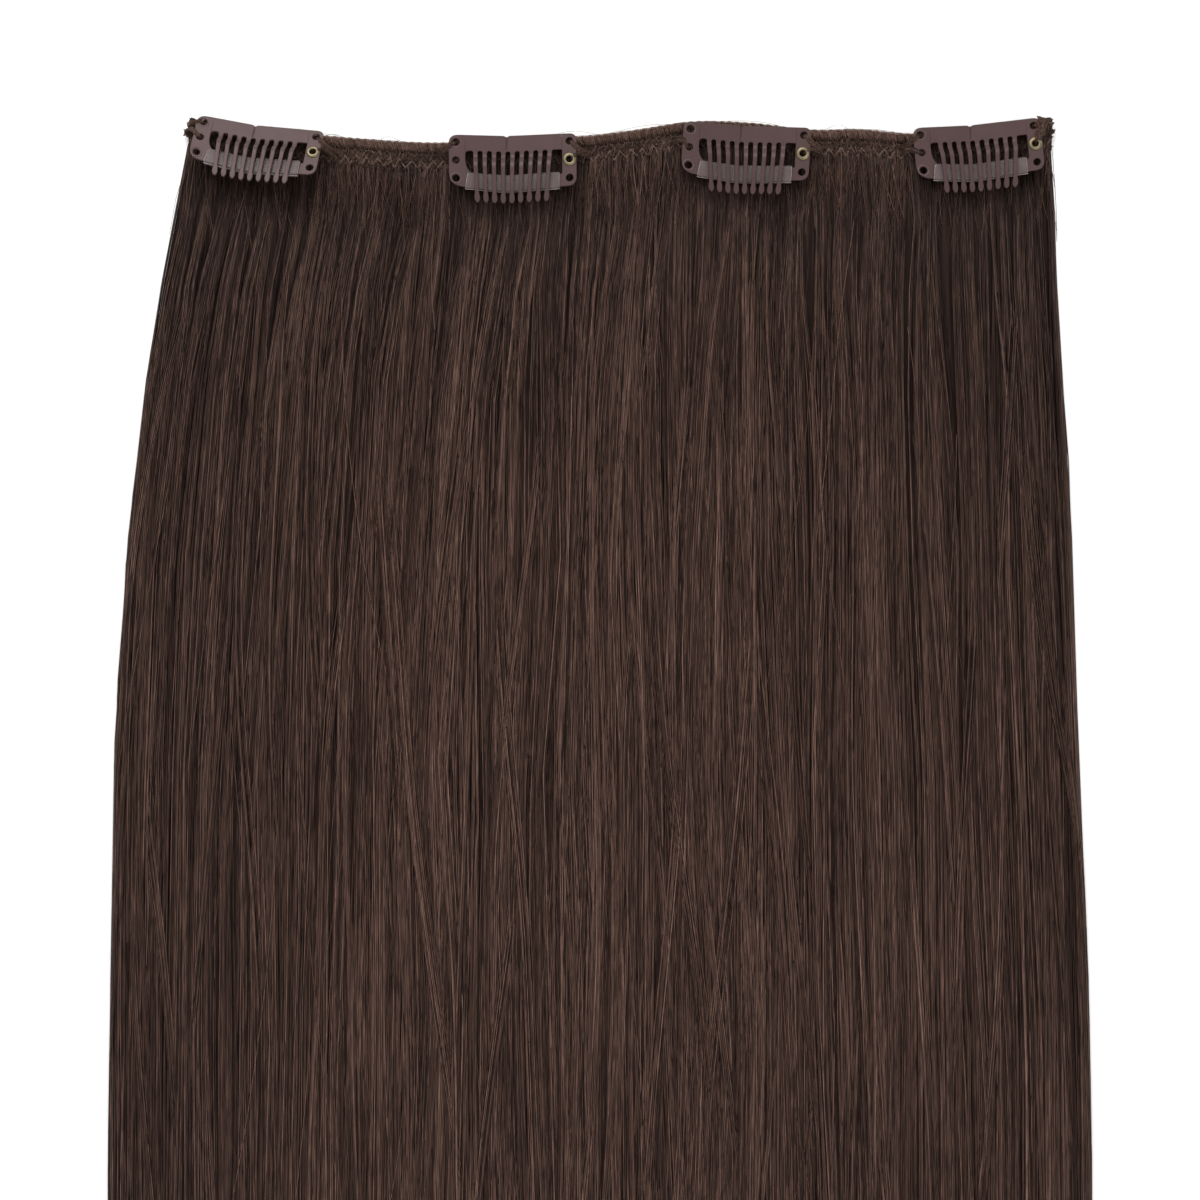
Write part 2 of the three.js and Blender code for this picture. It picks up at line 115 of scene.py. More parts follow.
TRACK_LINE = [
    (0.0, 0.05), (0.155, 0.66), (0.3, 1.0), (0.385, 0.8), (0.47, 0.66), (0.52, 0.4), (0.58, 0.04),
    (0.65, 0.09), (0.72, 0.4), (0.78, 0.4), (0.83, 0.58), (0.92, 0.31), (1.0, 0.0),
]
HAIR_EDGES = [
    (0.012, 0.838, 0.915), (0.045, 0.861, 0.923), (0.112, 0.905, 0.931), (0.178, 0.938, 0.95),
    (0.31, 0.98, 0.966), (0.476, 0.994, 0.992), (0.6, 1.0, 1.0), (0.8, 0.99, 0.985),
    (1.0, 0.95, 0.94),
]
TOOTH_LIFT = [
    (0.0, 0.0), (0.05, 0.03), (0.2, 0.98), (0.42, 1.06), (0.76, 1.0), (0.87, 0.9), (0.94, 0.8),
    (0.985, 0.74), (1.0, 0.72),
]
# Places of the clips: share of the weft's length, share of the band's depth, degrees of turn and
# tilt, and how far the teeth lean to the right at their tips and draw together there.
CLIP_PLACES = [
    (-0.412, 0.12, -7.8, 23.0, 0.35, 0.93),
    (-0.1235, 0.09, 0.5, 2.0, -0.2, 0.923),
    (0.146, -0.13, -3.3, 0.0, 0.22, 0.89),
    (0.408, 0.12, 4.6, 4.0, -0.4, 0.91),
]

WINDOW_LEFT = -PLATE_LENGTH / 2 + LEFT_END_WIDTH
WINDOW_RIGHT = PLATE_LENGTH / 2 - RIGHT_END_WIDTH
FIRST_TOOTH = WINDOW_LEFT + LEFT_SLOT_WIDTH + TOOTH_WIDTH / 2
LAST_TOOTH = WINDOW_RIGHT - RIGHT_SLOT_WIDTH - TOOTH_WIDTH / 2
TOOTH_PITCH = (LAST_TOOTH - FIRST_TOOTH) / (TOOTH_COUNT - 1)
SLOT_RADIUS = (TOOTH_PITCH - TOOTH_WIDTH) / 2
FOLD_REACH = PLATE_LENGTH / 2
TOOTH_START = BACK_BAR_DEPTH + SLOT_RADIUS
SLEEVE_LEFT = WINDOW_LEFT + 0.55
SLEEVE_RIGHT = WINDOW_RIGHT - 0.75


def add_object(name, data):
    obj = bpy.data.objects.new(name, data)
    bpy.context.collection.objects.link(obj)
    return obj


# The camera comes first: straight above, as in the picture.
VIEW_WIDTH = 303.0
VIEW_HEIGHT = 3.0
VIEW_CENTER = -121.2
camera_data = bpy.data.cameras.new("camera")
camera_data.lens = 60
camera_data.sensor_width = 36
camera = add_object("camera", camera_data)
view_distance = VIEW_WIDTH * camera_data.lens / camera_data.sensor_width + VIEW_HEIGHT
camera.location = (PART_ORIGIN + np.array([0, VIEW_CENTER, view_distance])) * MM
bpy.context.scene.camera = camera


# Curves and small numbers
def lerp(a, b, t):
    return a + (b - a) * t


def smooth(value, start, end):
    t = np.clip((value - start) / (end - start), 0, 1)
    return t * t * (3 - 2 * t)


def curve_between(values, slopes, i, t, span=1.0):
    """A smooth course from value i to the next one, t of the way along."""
    rise = (3 - 2 * t) * t * t
    turn = t * (t - 1) * span * ((t - 1) * slopes[i] + t * slopes[i + 1])
    return values[i] * (1 - rise) + values[i + 1] * rise + turn


def column_curve(rows, column):
    """A smooth curve through one column of a table against its first column."""
    places = np.array([row[0] for row in rows])
    values = np.array([row[column] for row in rows])
    slopes = np.gradient(values, places)

    def read(at):
        at = np.clip(at, places[0], places[-1])
        i = np.clip(np.searchsorted(places, at) - 1, 0, len(places) - 2)
        span = places[i + 1] - places[i]
        return curve_between(values, slopes, i, (at - places[i]) / span, span)

    return read


def spline(points, steps):
    """A smooth path through a few points."""
    points = np.asarray(points, float)
    fine = np.linspace(0, len(points) - 1, steps)
    i = np.minimum(fine.astype(int), len(points) - 2)
    return curve_between(points, np.gradient(points, axis=0), i, (fine - i)[:, None])


def blend(colors, level):
    """A colour of a table for a level from 0, its first, to 1, its last."""
    at = np.clip(level, 0, 1) * (len(colors) - 1)
    i = np.minimum(at.astype(int), len(colors) - 2)
    return lerp(colors[i], colors[i + 1], (at - i)[..., None])


track_dip = column_curve(TRACK_LINE, 1)
hair_left = column_curve(HAIR_EDGES, 1)
hair_right = column_curve(HAIR_EDGES, 2)
tooth_lift = column_curve(TOOTH_LIFT, 1)


def track_back(x):
    return -WAVE_DEPTH * track_dip((x - WEFT_OFFSET) / WEFT_LENGTH + 0.5)


def hair_edge(side, depth):
    share = hair_left(depth / HAIR_LENGTH) if side < 0 else hair_right(depth / HAIR_LENGTH)
    return side * share * HAIR_SPREAD / 2


def hair_height(depth):
    return lerp(HAIR_ROOT_THICKNESS, HAIR_THICKNESS, smooth(depth, TOOTH_REACH, SWELL_DEPTH))


def hair_y(x, depth):
    return track_back(x) * (1 - smooth(depth, HAIR_START, SWELL_DEPTH)) - depth


# Meshes
def finish_piece(obj, material, body, nodes=()):
    obj.data.materials.append(material)
    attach(obj, body)
    if nodes:
        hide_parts(*nodes)


def metres(points):
    return ((points + PART_ORIGIN) * MM).astype(np.float32).ravel()


def mesh_object(name, points, faces, tint=None):
    """A mesh from points in millimetres and a list of arrays of faces of equal counts."""
    mesh = bpy.data.meshes.new(name)
    mesh.vertices.add(len(points))
    mesh.vertices.foreach_set("co", metres(points))
    loops = np.concatenate([part.ravel() for part in faces]).astype(np.int32)
    sizes = np.concatenate([np.full(len(part), part.shape[1]) for part in faces])
    starts = np.concatenate([[0], np.cumsum(sizes)[:-1]]).astype(np.int32)
    mesh.loops.add(len(loops))
    mesh.loops.foreach_set("vertex_index", loops)
    mesh.polygons.add(len(sizes))
    mesh.polygons.foreach_set("loop_start", starts)
    mesh.polygons.foreach_set("use_smooth", np.ones(len(sizes), bool))
    mesh.update(calc_edges=True)
    if tint is not None:
        layer = mesh.color_attributes.new("tint", "FLOAT_COLOR", "POINT")
        tint = np.column_stack([tint, np.ones(len(tint))]).astype(np.float32)
        layer.data.foreach_set("color", tint.ravel())
    return add_object(name, mesh)


def unit(vectors):
    return vectors / np.maximum(np.linalg.norm(vectors, axis=-1, keepdims=True), 1e-9)


def ring_quads(steps, sides, closed=False):
    """Faces between rings of points, and from the last ring to the first if closed."""
    here = np.arange(steps if closed else steps - 1)[:, None] * sides
    after = (here + sides) % (steps * sides)
    i = np.arange(sides)
    j = (i + 1) % sides
    return np.stack([here + i, here + j, after + j, after + i], axis=2).reshape(-1, 4)


FLIPPED = [0, 3, 2, 1]


def end_caps(steps, sides):
    """Faces from the first and the last ring to a point each, which follow the rings."""
    i = np.arange(sides)
    j = (i + 1) % sides
    first = np.full(sides, steps * sides)
    last = (steps - 1) * sides
    return np.concatenate(
        [np.stack([first, j, i], axis=1), np.stack([first + 1, last + i, last + j], axis=1)]
    )


def tubes(paths, radii, up, sides=HAIR_SIDES):
    """Closed tubes with pointed ends along paths of equal numbers of points: points and faces."""
    paths = np.asarray(paths, float)
    count, steps, _ = paths.shape
    radii = np.broadcast_to(radii, (count, steps))[..., None]
    tangent = unit(np.gradient(paths, axis=1))
    side = unit(np.cross(tangent, np.asarray(up, float)))
    over = np.cross(side, tangent)
    rings = []
    for i in range(sides):
        angle = math.pi / 2 + 2 * math.pi * i / sides
        rings.append(paths + (math.cos(angle) * side + math.sin(angle) * over) * radii)
    body = np.stack(rings, axis=2).reshape(count, steps * sides, 3)
    point = 1.5 * tangent * radii
    tips = np.stack([paths[:, 0] - point[:, 0], paths[:, -1] + point[:, -1]], axis=1)
    points = np.concatenate([body, tips], axis=1)
    shift = (np.arange(count) * points.shape[1])[:, None, None]
    quads = ring_quads(steps, sides)[:, FLIPPED][None] + shift
    caps = end_caps(steps, sides)[:, [0, 2, 1]][None] + shift
    return points.reshape(-1, 3), [quads.reshape(-1, 4), caps.reshape(-1, 3)]


def join_parts(parts):
    """Several parts, each with its points and faces, as one."""
    points, faces, base = [], [], 0
    for some_points, some_faces, *_ in parts:
        points.append(some_points)
        faces += [part + base for part in some_faces]
        base += len(some_points)
    return np.concatenate(points), faces


def loft(rings):
    """A closed body through rings of equal numbers of points."""
    rings = np.asarray(rings, float)
    steps, sides, _ = rings.shape
    points = np.concatenate([rings.reshape(-1, 3), rings[0].mean(0)[None], rings[-1].mean(0)[None]])
    return points, [ring_quads(steps, sides), end_caps(steps, sides)]


# Materials
class Nodes:
    """A material's node tree with short calls for its nodes and links."""

    def __init__(self, name):
        self.material = bpy.data.materials.new(name)
        self.material.use_nodes = True
        self.tree = self.material.node_tree
        self.shader = self.tree.nodes["Principled BSDF"]

    def set(self, **values):
        for name, value in values.items():
            self.shader.inputs[name.replace("_", " ")].default_value = value

    def node(self, kind, **settings):
        made = self.tree.nodes.new(kind)
        for name, value in settings.items():
            setattr(made, name, value)
        return made

    def link(self, source, target):
        self.tree.links.new(source, target)

    def noise(self, scale, detail=3.0, roughness=0.55):
        """Noise in the object's own metres, with its own scale along each axis."""
        place = self.node("ShaderNodeTexCoord")
        mapping = self.node("ShaderNodeMapping")
        mapping.inputs["Scale"].default_value = scale
        texture = self.node("ShaderNodeTexNoise")
        texture.inputs["Scale"].default_value = 1.0
        texture.inputs["Detail"].default_value = detail
        texture.inputs["Roughness"].default_value = roughness
        self.link(place.outputs["Object"], mapping.inputs["Vector"])
        self.link(mapping.outputs["Vector"], texture.inputs["Vector"])
        return texture.outputs["Fac"]

    def ramp(self, source, stops):
        made = self.node("ShaderNodeValToRGB")
        elements = made.color_ramp.elements
        while len(elements) < len(stops):
            elements.new(0.5)
        for element, (place, color) in zip(elements, stops):
            element.position = place
            element.color = (*color, 1)
        self.link(source, made.inputs["Fac"])
        return made.outputs["Color"]

    def multiply(self, a, b):
        made = self.node("ShaderNodeMix", data_type="RGBA", blend_type="MULTIPLY")
        made.inputs["Factor"].default_value = 1.0
        self.link(a, made.inputs["A"])
        self.link(b, made.inputs["B"])
        return made.outputs["Result"]

    def tint(self):
        return self.node("ShaderNodeVertexColor", layer_name="tint").outputs["Color"]

    def bump(self, source, strength, distance):
        made = self.node("ShaderNodeBump")
        made.inputs["Strength"].default_value = strength
        made.inputs["Distance"].default_value = distance
        self.link(source, made.inputs["Height"])
        self.link(made.outputs["Normal"], self.shader.inputs["Normal"])

    def color(self, source):
        self.link(source, self.shader.inputs["Base Color"])


def grey(*values):
    return [(v, v, v) for v in values]


def strand_material(name, scale, roughness, specular):
    """Hair or thread whose colour comes from its tint, streaked along its length."""
    nodes = Nodes(name)
    low, high = grey(0.42, 1.65)
    streaks = nodes.ramp(nodes.noise(scale), [(0.3, low), (0.7, high)])
    nodes.color(nodes.multiply(nodes.tint(), streaks))
    nodes.set(Roughness=roughness, Specular_IOR_Level=specular)
    return nodes.material


hair_material = strand_material("hair_strands", (2700, 150, 2700), 0.42, 0.1)
thread_material = strand_material("sewing_thread", (1800, 1800, 1800), 0.6, 0.08)


def body_material():
    nodes = Nodes("hair_body")
    # Colours far darker than the hair's own: painted shade of the hair's depths, seen between the
    # strands.
    dark, middle, light = (0.006, 0.0035, 0.0027), (0.013, 0.0075, 0.0058), (0.03, 0.0165, 0.0125)
    grain = nodes.noise((1400, 14, 900), 4)
    nodes.color(nodes.ramp(grain, [(0.32, dark), (0.5, middle), (0.7, light)]))
    nodes.bump(grain, 0.6, 0.0004)
    nodes.set(Roughness=0.7, Specular_IOR_Level=0.05)
    return nodes.material


def paint_material(name, low, high):
    nodes = Nodes(name)
    nodes.color(nodes.ramp(nodes.noise((260, 260, 260), 5, 0.6), [(0.3, low), (0.7, high)]))
    fine = nodes.noise((2600, 2600, 2600), 2)
    satin, dull = grey(0.34, 0.42)
    gloss = nodes.ramp(fine, [(0.3, satin), (0.7, dull)])
    nodes.link(gloss, nodes.shader.inputs["Roughness"])
    nodes.bump(fine, 0.08, 0.0001)
    nodes.set(Metallic=0.15, Specular_IOR_Level=0.26)
    return nodes.material


def plain_material(name, scale, detail, start, low, high, **values):
    """One colour that varies a little between low and high."""
    nodes = Nodes(name)
    cloud = nodes.noise((scale, scale, scale), detail)
    nodes.color(nodes.ramp(cloud, [(start, low), (1 - start, high)]))
    nodes.set(**values)
    return nodes.material


# Hair: a body of locks painted dark as the shade deep in the hair, with thousands of strands over,
# beside and under it
def lock_tip(lock):
    shorter = TIP_STAGGER * (1 - np.cos(2.4 * (lock - LOCK_COUNT // 2))) / 2
    return HAIR_LENGTH - HAIR_ROOT - shorter


def lock_course(lock, depth):
    """Middle and width of a lock at a depth, and the hair's two edges."""
    share = (lock + 0.5) / LOCK_COUNT
    left, right = hair_edge(-1, depth), hair_edge(1, depth)
    drift = 2.1 * lock
    inner = np.sin(math.pi * share)
    wander = np.sin(drift + 2 * math.pi * depth / LOCK_WAVE_LENGTH) - np.sin(drift)
    middle = lerp(left, right, share) + LOCK_WAVE * wander * inner
    width = (right - left) / LOCK_COUNT + 2 * LOCK_OVERLAP * np.minimum(1, 2 * inner)
    return middle, width, left, right


def lock_share(reach):
    """Width of a lock as a share of its full width."""
    return np.interp(reach, [0, 0.72, 0.88, 0.96, 1.0], [1, 1, 0.82, 0.5, 0.22])


def edge_crown(x, left, right):
    """Share of the hair's height beside its two edges, where it rounds off."""
    away = np.clip(np.minimum(x - left, right - x) / EDGE_ROUND, 0, 1)
    return np.sqrt(np.clip(1 - (1 - away) ** 2, 0.06, 1))


def hair_body():
    stations = [0, 0.015, 0.04, 0.08, 0.14, 0.22, 0.32, 0.42, 0.52, 0.62, 0.72, 0.8, 0.87, 0.92]
    section = [
        (-0.4, 0.0), (0.0, 0.0), (0.4, 0.0), (0.5, 0.35), (0.4, 0.75), (0.2, 0.97), (0.0, 1.0),
        (-0.2, 0.97), (-0.4, 0.75), (-0.5, 0.35),
    ]
    start = 6.3
    inset = 0.8
    parts = []
    for lock in range(LOCK_COUNT):
        rings = []
        for reach in stations:
            depth = start + reach * (lock_tip(lock) - start)
            middle, width, left, right = lock_course(lock, depth)
            width *= lock_share(reach) * (0.95 if reach < 0.7 else 0.84)
            top = 0.74 * hair_height(depth) * np.interp(reach, [0, 0.015, 0.6, 0.92], [0.6, 1, 1, 0.6])
            top *= 0.9 if lock % 2 else 1
            ring = []
            for across, rise in section:
                x = np.clip(middle + across * width, left + inset, right - inset)
                high = max(0.3, top * edge_crown(x, left, right))
                ring.append([x, hair_y(x, depth), lerp(0.15, high, rise)])
            rings.append(ring)
        parts.append(loft(rings))
    points, faces = join_parts(parts)
    finish_piece(mesh_object("hair_body", points, faces), body_material(), "weft", ["hair"])


HAIR_COLORS = np.array(
    [(0.020, 0.0105, 0.008), (0.058, 0.0315, 0.024), (0.105, 0.059, 0.0455), (0.19, 0.113, 0.089)]
)


def hair_shade(x, depth):
    """The hair lies in more shade near the track, most at its right end."""
    shade = lerp(0.68, 1.0, smooth(depth, 10, 130)) * lerp(1.0, 0.78, smooth(-x, 50, 105))
    shade *= lerp(1.0, 0.92, smooth(x, 50, 105))
    shade *= lerp(1.0, 0.8, smooth(x, 40, 110) * (1 - smooth(depth, 80, 200)))
    return shade * clip_shade(x, depth)


def clip_shade(x, depth):
    """The hair and the track lie in shade under the clips and in front of them."""
    shade = np.ones(np.broadcast(x, depth).shape)
    y = hair_y(x, depth)
    for along, behind, turn, *_ in CLIP_PLACES:
        centre = WEFT_OFFSET + along * WEFT_LENGTH
        c, s = math.cos(math.radians(turn)), math.sin(math.radians(turn))
        dx, dy = x - centre, y - track_back(centre) - behind * BAND_DEPTH
        out, front = np.abs(c * dx + s * dy), s * dx - c * dy
        inside = (1 - smooth(out, 14.0, 18.5)) * smooth(front, 1.5, 3.5)
        shade *= 1 - 0.55 * inside * (1 - smooth(front, 13.0, 25.0))
    return shade


def on_hair(x, depth, z, low):
    """Paths over the hair that lie no lower than a height."""
    return np.stack([x, hair_y(x, depth), np.maximum(z, low)], axis=2)


def strand_object(name, paths, radii, tint):
    """Hairs along paths, with a colour for each step of each path."""
    points, faces = tubes(paths, radii, (0, 0, 1))
    along = np.repeat(tint, HAIR_SIDES, axis=1)
    tint = np.concatenate([along, tint[:, :1], tint[:, -1:]], axis=1).reshape(-1, 3)
    obj = mesh_object(name, points, faces, tint)
    finish_piece(obj, hair_material, "weft", ["hair"])


def hair_strands():
    """Strands in wisps, each wisp rounded, with painted shade at its sides and on its lower strands,
    and with its own drift.
    """
    count, wisps = STRAND_COUNT, WISPS_PER_LOCK
    lock = np.sort(rng.integers(0, LOCK_COUNT, count))
    wisp = rng.integers(0, wisps, count)
    wisp_middle = ((wisp + 0.5) / wisps - 0.5)[:, None]
    wisp_random = rng.uniform(-1, 1, (LOCK_COUNT * wisps, 8))[lock * wisps + wisp]
    lock_random = rng.uniform(-1, 1, (LOCK_COUNT, 2))[lock]
    own = rng.uniform(-1, 1, (count, 8))
    spot = 0.5 * np.sign(own[:, 0]) * np.abs(own[:, 0]) ** 0.8

    across = np.abs(wisp_middle[:, 0] + spot / wisps) * 2
    edge_cut = np.interp(across, [0, 0.22, 0.5, 0.82, 1.0], [1.0, 1.0, 0.985, 0.955, 0.92])
    short = np.where(rng.random(count) < 0.8, rng.uniform(0, 10, count), rng.uniform(5, 90, count))
    end = lock_tip(lock) * np.minimum(1.0, edge_cut + 0.03 * own[:, 1]) - short
    end = np.minimum(end + HAIR_ROOT, HAIR_LENGTH - 0.6)
    start = 5.2 + 0.8 * np.abs(own[:, 2])
    depth = start[:, None] + (end - start)[:, None] * STRAND_STEPS[None]
    down = depth / lock_tip(lock)[:, None]

    middle, width, left, right = lock_course(lock[:, None], depth)
    spread = 0.93 + 0.13 * np.sin(depth / 33 + 3 * wisp_random[:, :1])
    spread *= lerp(1.0, 0.75, smooth(down, 0.6, 1.0))
    taper = lerp(1.0, 0.84, smooth(down, 0.8, 1.0))
    x = middle + width * taper * (wisp_middle + spread * spot[:, None] / wisps)
    loose = smooth(depth, 12, 70)
    turn = 2 * math.pi / (95 + 35 * wisp_random[:, 1:2])
    x += loose * 1.05 * wisp_random[:, 2:3] * np.sin(turn * depth + 3 * wisp_random[:, 3:4])
    x += loose * 0.45 * own[:, 3:4] * np.sin(depth / (13 + 5 * own[:, 4:5]) + 3 * own[:, 5:6])
    crossing = np.where(rng.random(count) < 0.16, 6.0, 1.2) * own[:, 6]
    x += crossing[:, None] * (depth / HAIR_LENGTH) ** 1.2

    # Roots leave the seam in small bundles, no two alike
    edges = np.cumsum(rng.uniform(1.2, 3.3, 140)) + hair_edge(-1, 8.0) - 6
    bundle = np.clip(np.searchsorted(edges, x[:, 0]), 1, len(edges) - 1)
    centre = (edges[bundle] + edges[bundle - 1])[:, None] / 2
    half = (edges[bundle] - edges[bundle - 1])[:, None] / 2
    bundle_random = rng.uniform(-1, 1, (len(edges), 4))[bundle]
    off = np.clip((x[:, :1] - centre) / half, -1, 1)
    near = 1 - smooth(depth, 9, 42)
    x = lerp(x, centre + 0.6 * (x - centre), near * np.abs(bundle_random[:, :1]))
    x += near * 0.22 * np.sin(depth / 2.6 + 9 * own[:, 4:5]) * own[:, 3:4]
    x += 1.7 * bundle_random[:, 1:2] * smooth(depth, 5, 20) * (1 - smooth(depth, 22, 80))
    x += near * 0.7 * own[:, 6:7] * np.abs(own[:, 5:6]) * smooth(depth, 5, 14)
    inset = 0.15 + 0.5 * np.abs(own[:, 7:8])
    x = np.clip(x, left + inset, right - inset)

    kind = rng.random(count)
    layer = lerp(0.8, 1.0, rng.random(count) ** 0.8)
    layer = np.where(kind > 0.84, rng.uniform(0.0, 0.16, count), layer)
    layer = np.where(kind > 0.95, rng.uniform(0.1, 0.8, count), layer)
    radius = 0.11 * (1 + 0.25 * own[:, 0])
    side = (2 * spot[:, None]) ** 2
    top = hair_height(depth) * np.where(lock % 2, 0.965, 1.0)[:, None]
    top *= 1 - 0.04 * (1 + wisp_random[:, 4:5]) * smooth(depth, 8, 30)
    top *= lerp(1.0, 0.5, smooth(down, 0.72, 1.0))
    top -= 1.2 * radius[:, None] + lerp(0.12, 0.3, loose) * side
    top -= near * (0.35 * off**2 + 0.25 * (1 + bundle_random[:, 2:3]))
    low = 0.16
    wave = 0.05 * np.sin(depth / 21 + 6 * own[:, 1:2])
    crown = edge_crown(x, left, right)
    z = low + (top * crown - low) * np.clip(layer[:, None] + wave, 0, 1)
    paths = on_hair(x, depth, z, low)
    radii = radius[:, None] * lerp(1.0, 0.35, smooth(depth / end[:, None], 0.9, 1.0))

    level = 0.45 + 0.34 * rng.standard_normal(count)
    level = level + 0.035 * wisp_random[:, 5] + 0.02 * lock_random[:, 0]
    # Strands that lie lower get painted shade.
    level -= np.where(layer < 0.8, 0.3, 1.2 * (1 - layer))
    gleam = 0.1 * np.sin(depth / 24 + 6 * wisp_random[:, 6:7])
    gleam = gleam + 0.06 * np.sin(depth / 9 + 6 * own[:, 5:6])
    tint = blend(HAIR_COLORS, level[:, None] + gleam)
    # Painted shade at each wisp's sides and at the sides of the root bundles, with some root bundles
    # darker at random.
    shade = hair_shade(x, depth) * (1 - 0.3 * side)
    shade *= 1 - near * (0.3 * off**2 + 0.12 * (1 - bundle_random[:, 3:4]))
    tint *= shade[..., None]

    order = np.argsort(x[:, 6])
    for number, chosen in enumerate(np.array_split(order, 4), 1):
        strand_object(f"hair_strands_{number}", paths[chosen], radii[chosen], tint[chosen])


def hair_overlay():
    """Wisps that lie over the others and slant across them."""
    wisps, each = 84, 18
    wisp_random = rng.uniform(-1, 1, (wisps, 6))
    share = np.repeat((np.arange(wisps) + 0.5) / wisps, each)[:, None]
    random = np.repeat(wisp_random, each, axis=0)
    count = wisps * each
    own = rng.uniform(-1, 1, (count, 4))
    begin = np.repeat(rng.uniform(14, 300, wisps), each)[:, None] + 9 * own[:, :1]
    length = np.repeat(rng.uniform(70, 210, wisps), each)[:, None] * (1 + 0.1 * own[:, 1:2])
    t = np.linspace(0, 1, 11)[None]
    length = np.minimum(length, 0.9 * HAIR_LENGTH - begin)
    depth = begin + length * t
    left, right = hair_edge(-1, depth), hair_edge(1, depth)
    across = 1.1 * own[:, 2:3] * (0.75 + 0.35 * np.sin(depth / 29 + 5 * random[:, :1]))
    slant = 0.13 * random[:, 1:2] * np.abs(random[:, 5:6]) ** 0.5 * length * (t - 0.5)
    x = lerp(left, right, share) + across + slant + 0.9 * np.sin(depth / 26 + 6 * random[:, 2:3])
    x = np.clip(x, left + 0.3, right - 0.3)
    rise = np.minimum(smooth(t, 0.0, 0.16), 1 - smooth(t, 0.84, 1.0))
    top = hair_height(depth) * edge_crown(x, left, right) - 0.2 - 0.25 * (across / 1.1) ** 2
    z = top * lerp(0.72, 1.0, rise) + 0.1 * rise * (1 + own[:, 3:4])
    paths = on_hair(x, depth, z, 0.2)
    radii = 0.105 * lerp(0.4, 1.0, rise)
    level = 0.46 + 0.32 * rng.standard_normal(count) + 0.03 * random[:, 3]
    tint = blend(HAIR_COLORS, level[:, None] + 0.1 * np.sin(depth / 21 + 6 * random[:, 4:5]))
    # Painted shade at each wisp's sides, on top of the hair's shade.
    tint *= (hair_shade(x, depth) * (1 - 0.3 * (across / 1.3) ** 2))[..., None]
    strand_object("hair_overlay", paths, radii, tint)


def root_fuzz():
    """Short hairs that leave the seam at all angles."""
    count = 1700
    own = rng.uniform(-1, 1, (count, 5))
    t = np.linspace(0, 1, 6)[None]
    begin = rng.uniform(4.2, 8.5, (count, 1))
    length = rng.uniform(5, 26, (count, 1))
    depth = begin + length * t
    x = rng.uniform(BAND_LEFT + 0.5, BAND_RIGHT - 0.5, (count, 1))
    x = x + length * (0.36 * own[:, :1] * np.abs(own[:, 1:2]) * t + 0.16 * own[:, 2:3] * t * t)
    x = np.clip(x, hair_edge(-1, depth) + 0.1, hair_edge(1, depth) - 0.1)
    z = 2.05 + 0.2 * own[:, 3:4] + 0.25 * np.sin(math.pi * t)
    z -= 0.5 * t * (own[:, 4:5] > 0)
    paths = on_hair(x, depth, z, 0.3)
    level = 0.45 + 0.26 * rng.standard_normal((count, 1)) + 0 * t
    tint = blend(HAIR_COLORS, level) * (0.85 * clip_shade(x, depth))[..., None]
    strand_object("hair_fuzz", paths, 0.085 * (1 - 0.45 * t), tint)


def loose_hairs():
    """Single hairs that stray over the others."""
    count, steps = 110, 16
    t = np.linspace(0, 1, steps)[None]
    start_depth = rng.uniform(8, 300, (count, 1))
    length = rng.uniform(18, 110, (count, 1))
    length = np.minimum(length, 0.9 * HAIR_LENGTH - start_depth)
    depth = start_depth + t * length
    share = rng.uniform(0.01, 0.99, (count, 1))
    left, right = hair_edge(-1, depth), hair_edge(1, depth)
    bend = rng.uniform(-1, 1, (count, 3))
    x = lerp(left, right, share)
    x += length * (0.14 * bend[:, :1] * t + 0.09 * bend[:, 1:2] * t * t)
    x = np.clip(x, left - 0.9, right + 0.9)
    root = lerp(0.8, 1.0, smooth(depth, 8, 22))
    z = hair_height(depth) * edge_crown(x, left, right) * root + 0.1
    z -= 0.5 * (1 - np.sin(math.pi * t)) * (hair_height(depth) > 3)
    paths = on_hair(x, depth, z, 0.2)
    tint = np.repeat(blend(HAIR_COLORS, rng.uniform(0.45, 0.95, (count, 1))), steps, axis=1)
    strand_object("hair_loose", paths, 0.07, tint)


# Sewn track
def on_track(x, depth, z):
    """Points at depths behind the track's back edge."""
    x, depth, z = np.broadcast_arrays(x, depth, z)
    return np.stack([x, track_back(x) - depth, z], axis=-1)


THREAD_BROWN = np.array([(0.036, 0.0205, 0.0155), (0.08, 0.0475, 0.0365), (0.15, 0.1, 0.077)])


def thread_tint(count, level, spread):
    return blend(THREAD_BROWN, level + spread * rng.standard_normal(count))


def thread_part(paths, radius, up, sides, tint, shaded=False):
    """Threads along paths, each of one colour: points, faces and the colours of the points."""
    points, faces = tubes(paths, radius, up, sides)
    tint = np.repeat(tint, len(points) // len(tint), axis=0)
    if shaded:
        depth = track_back(points[:, 0]) - points[:, 1]
        tint = tint * clip_shade(points[:, 0], depth)[:, None]
    return points, faces, tint


def thread_piece(name, parts, nodes=("weft_band",)):
    points, faces = join_parts(parts)
    obj = mesh_object(name, points, faces, np.concatenate([tint for *_, tint in parts]))
    finish_piece(obj, thread_material, "weft", nodes)


def band_base():
    section = [
        (0.7, 0.12), (0.25, 0.7), (0.12, 1.3), (0.22, 2.0), (0.6, 2.45), (1.1, 2.5), (1.6, 2.2),
        (2.1, 1.5), (2.4, 1.35), (2.9, 1.75), (4.4, 1.95), (6.0, 1.75), (7.2, 1.2), (7.4, 0.5),
        (7.2, 0.12),
    ]
    rings = []
    for x in np.linspace(BAND_LEFT + 0.6, BAND_RIGHT - 0.6, 240):
        rings.append([[x, track_back(x) - depth, z] for depth, z in section])
    points, faces = loft(rings)
    tint = np.tile(THREAD_BROWN[0] * 0.9, (len(points), 1))
    thread_piece("weft_band_core", [(points, [part[:, ::-1] for part in faces], tint)])


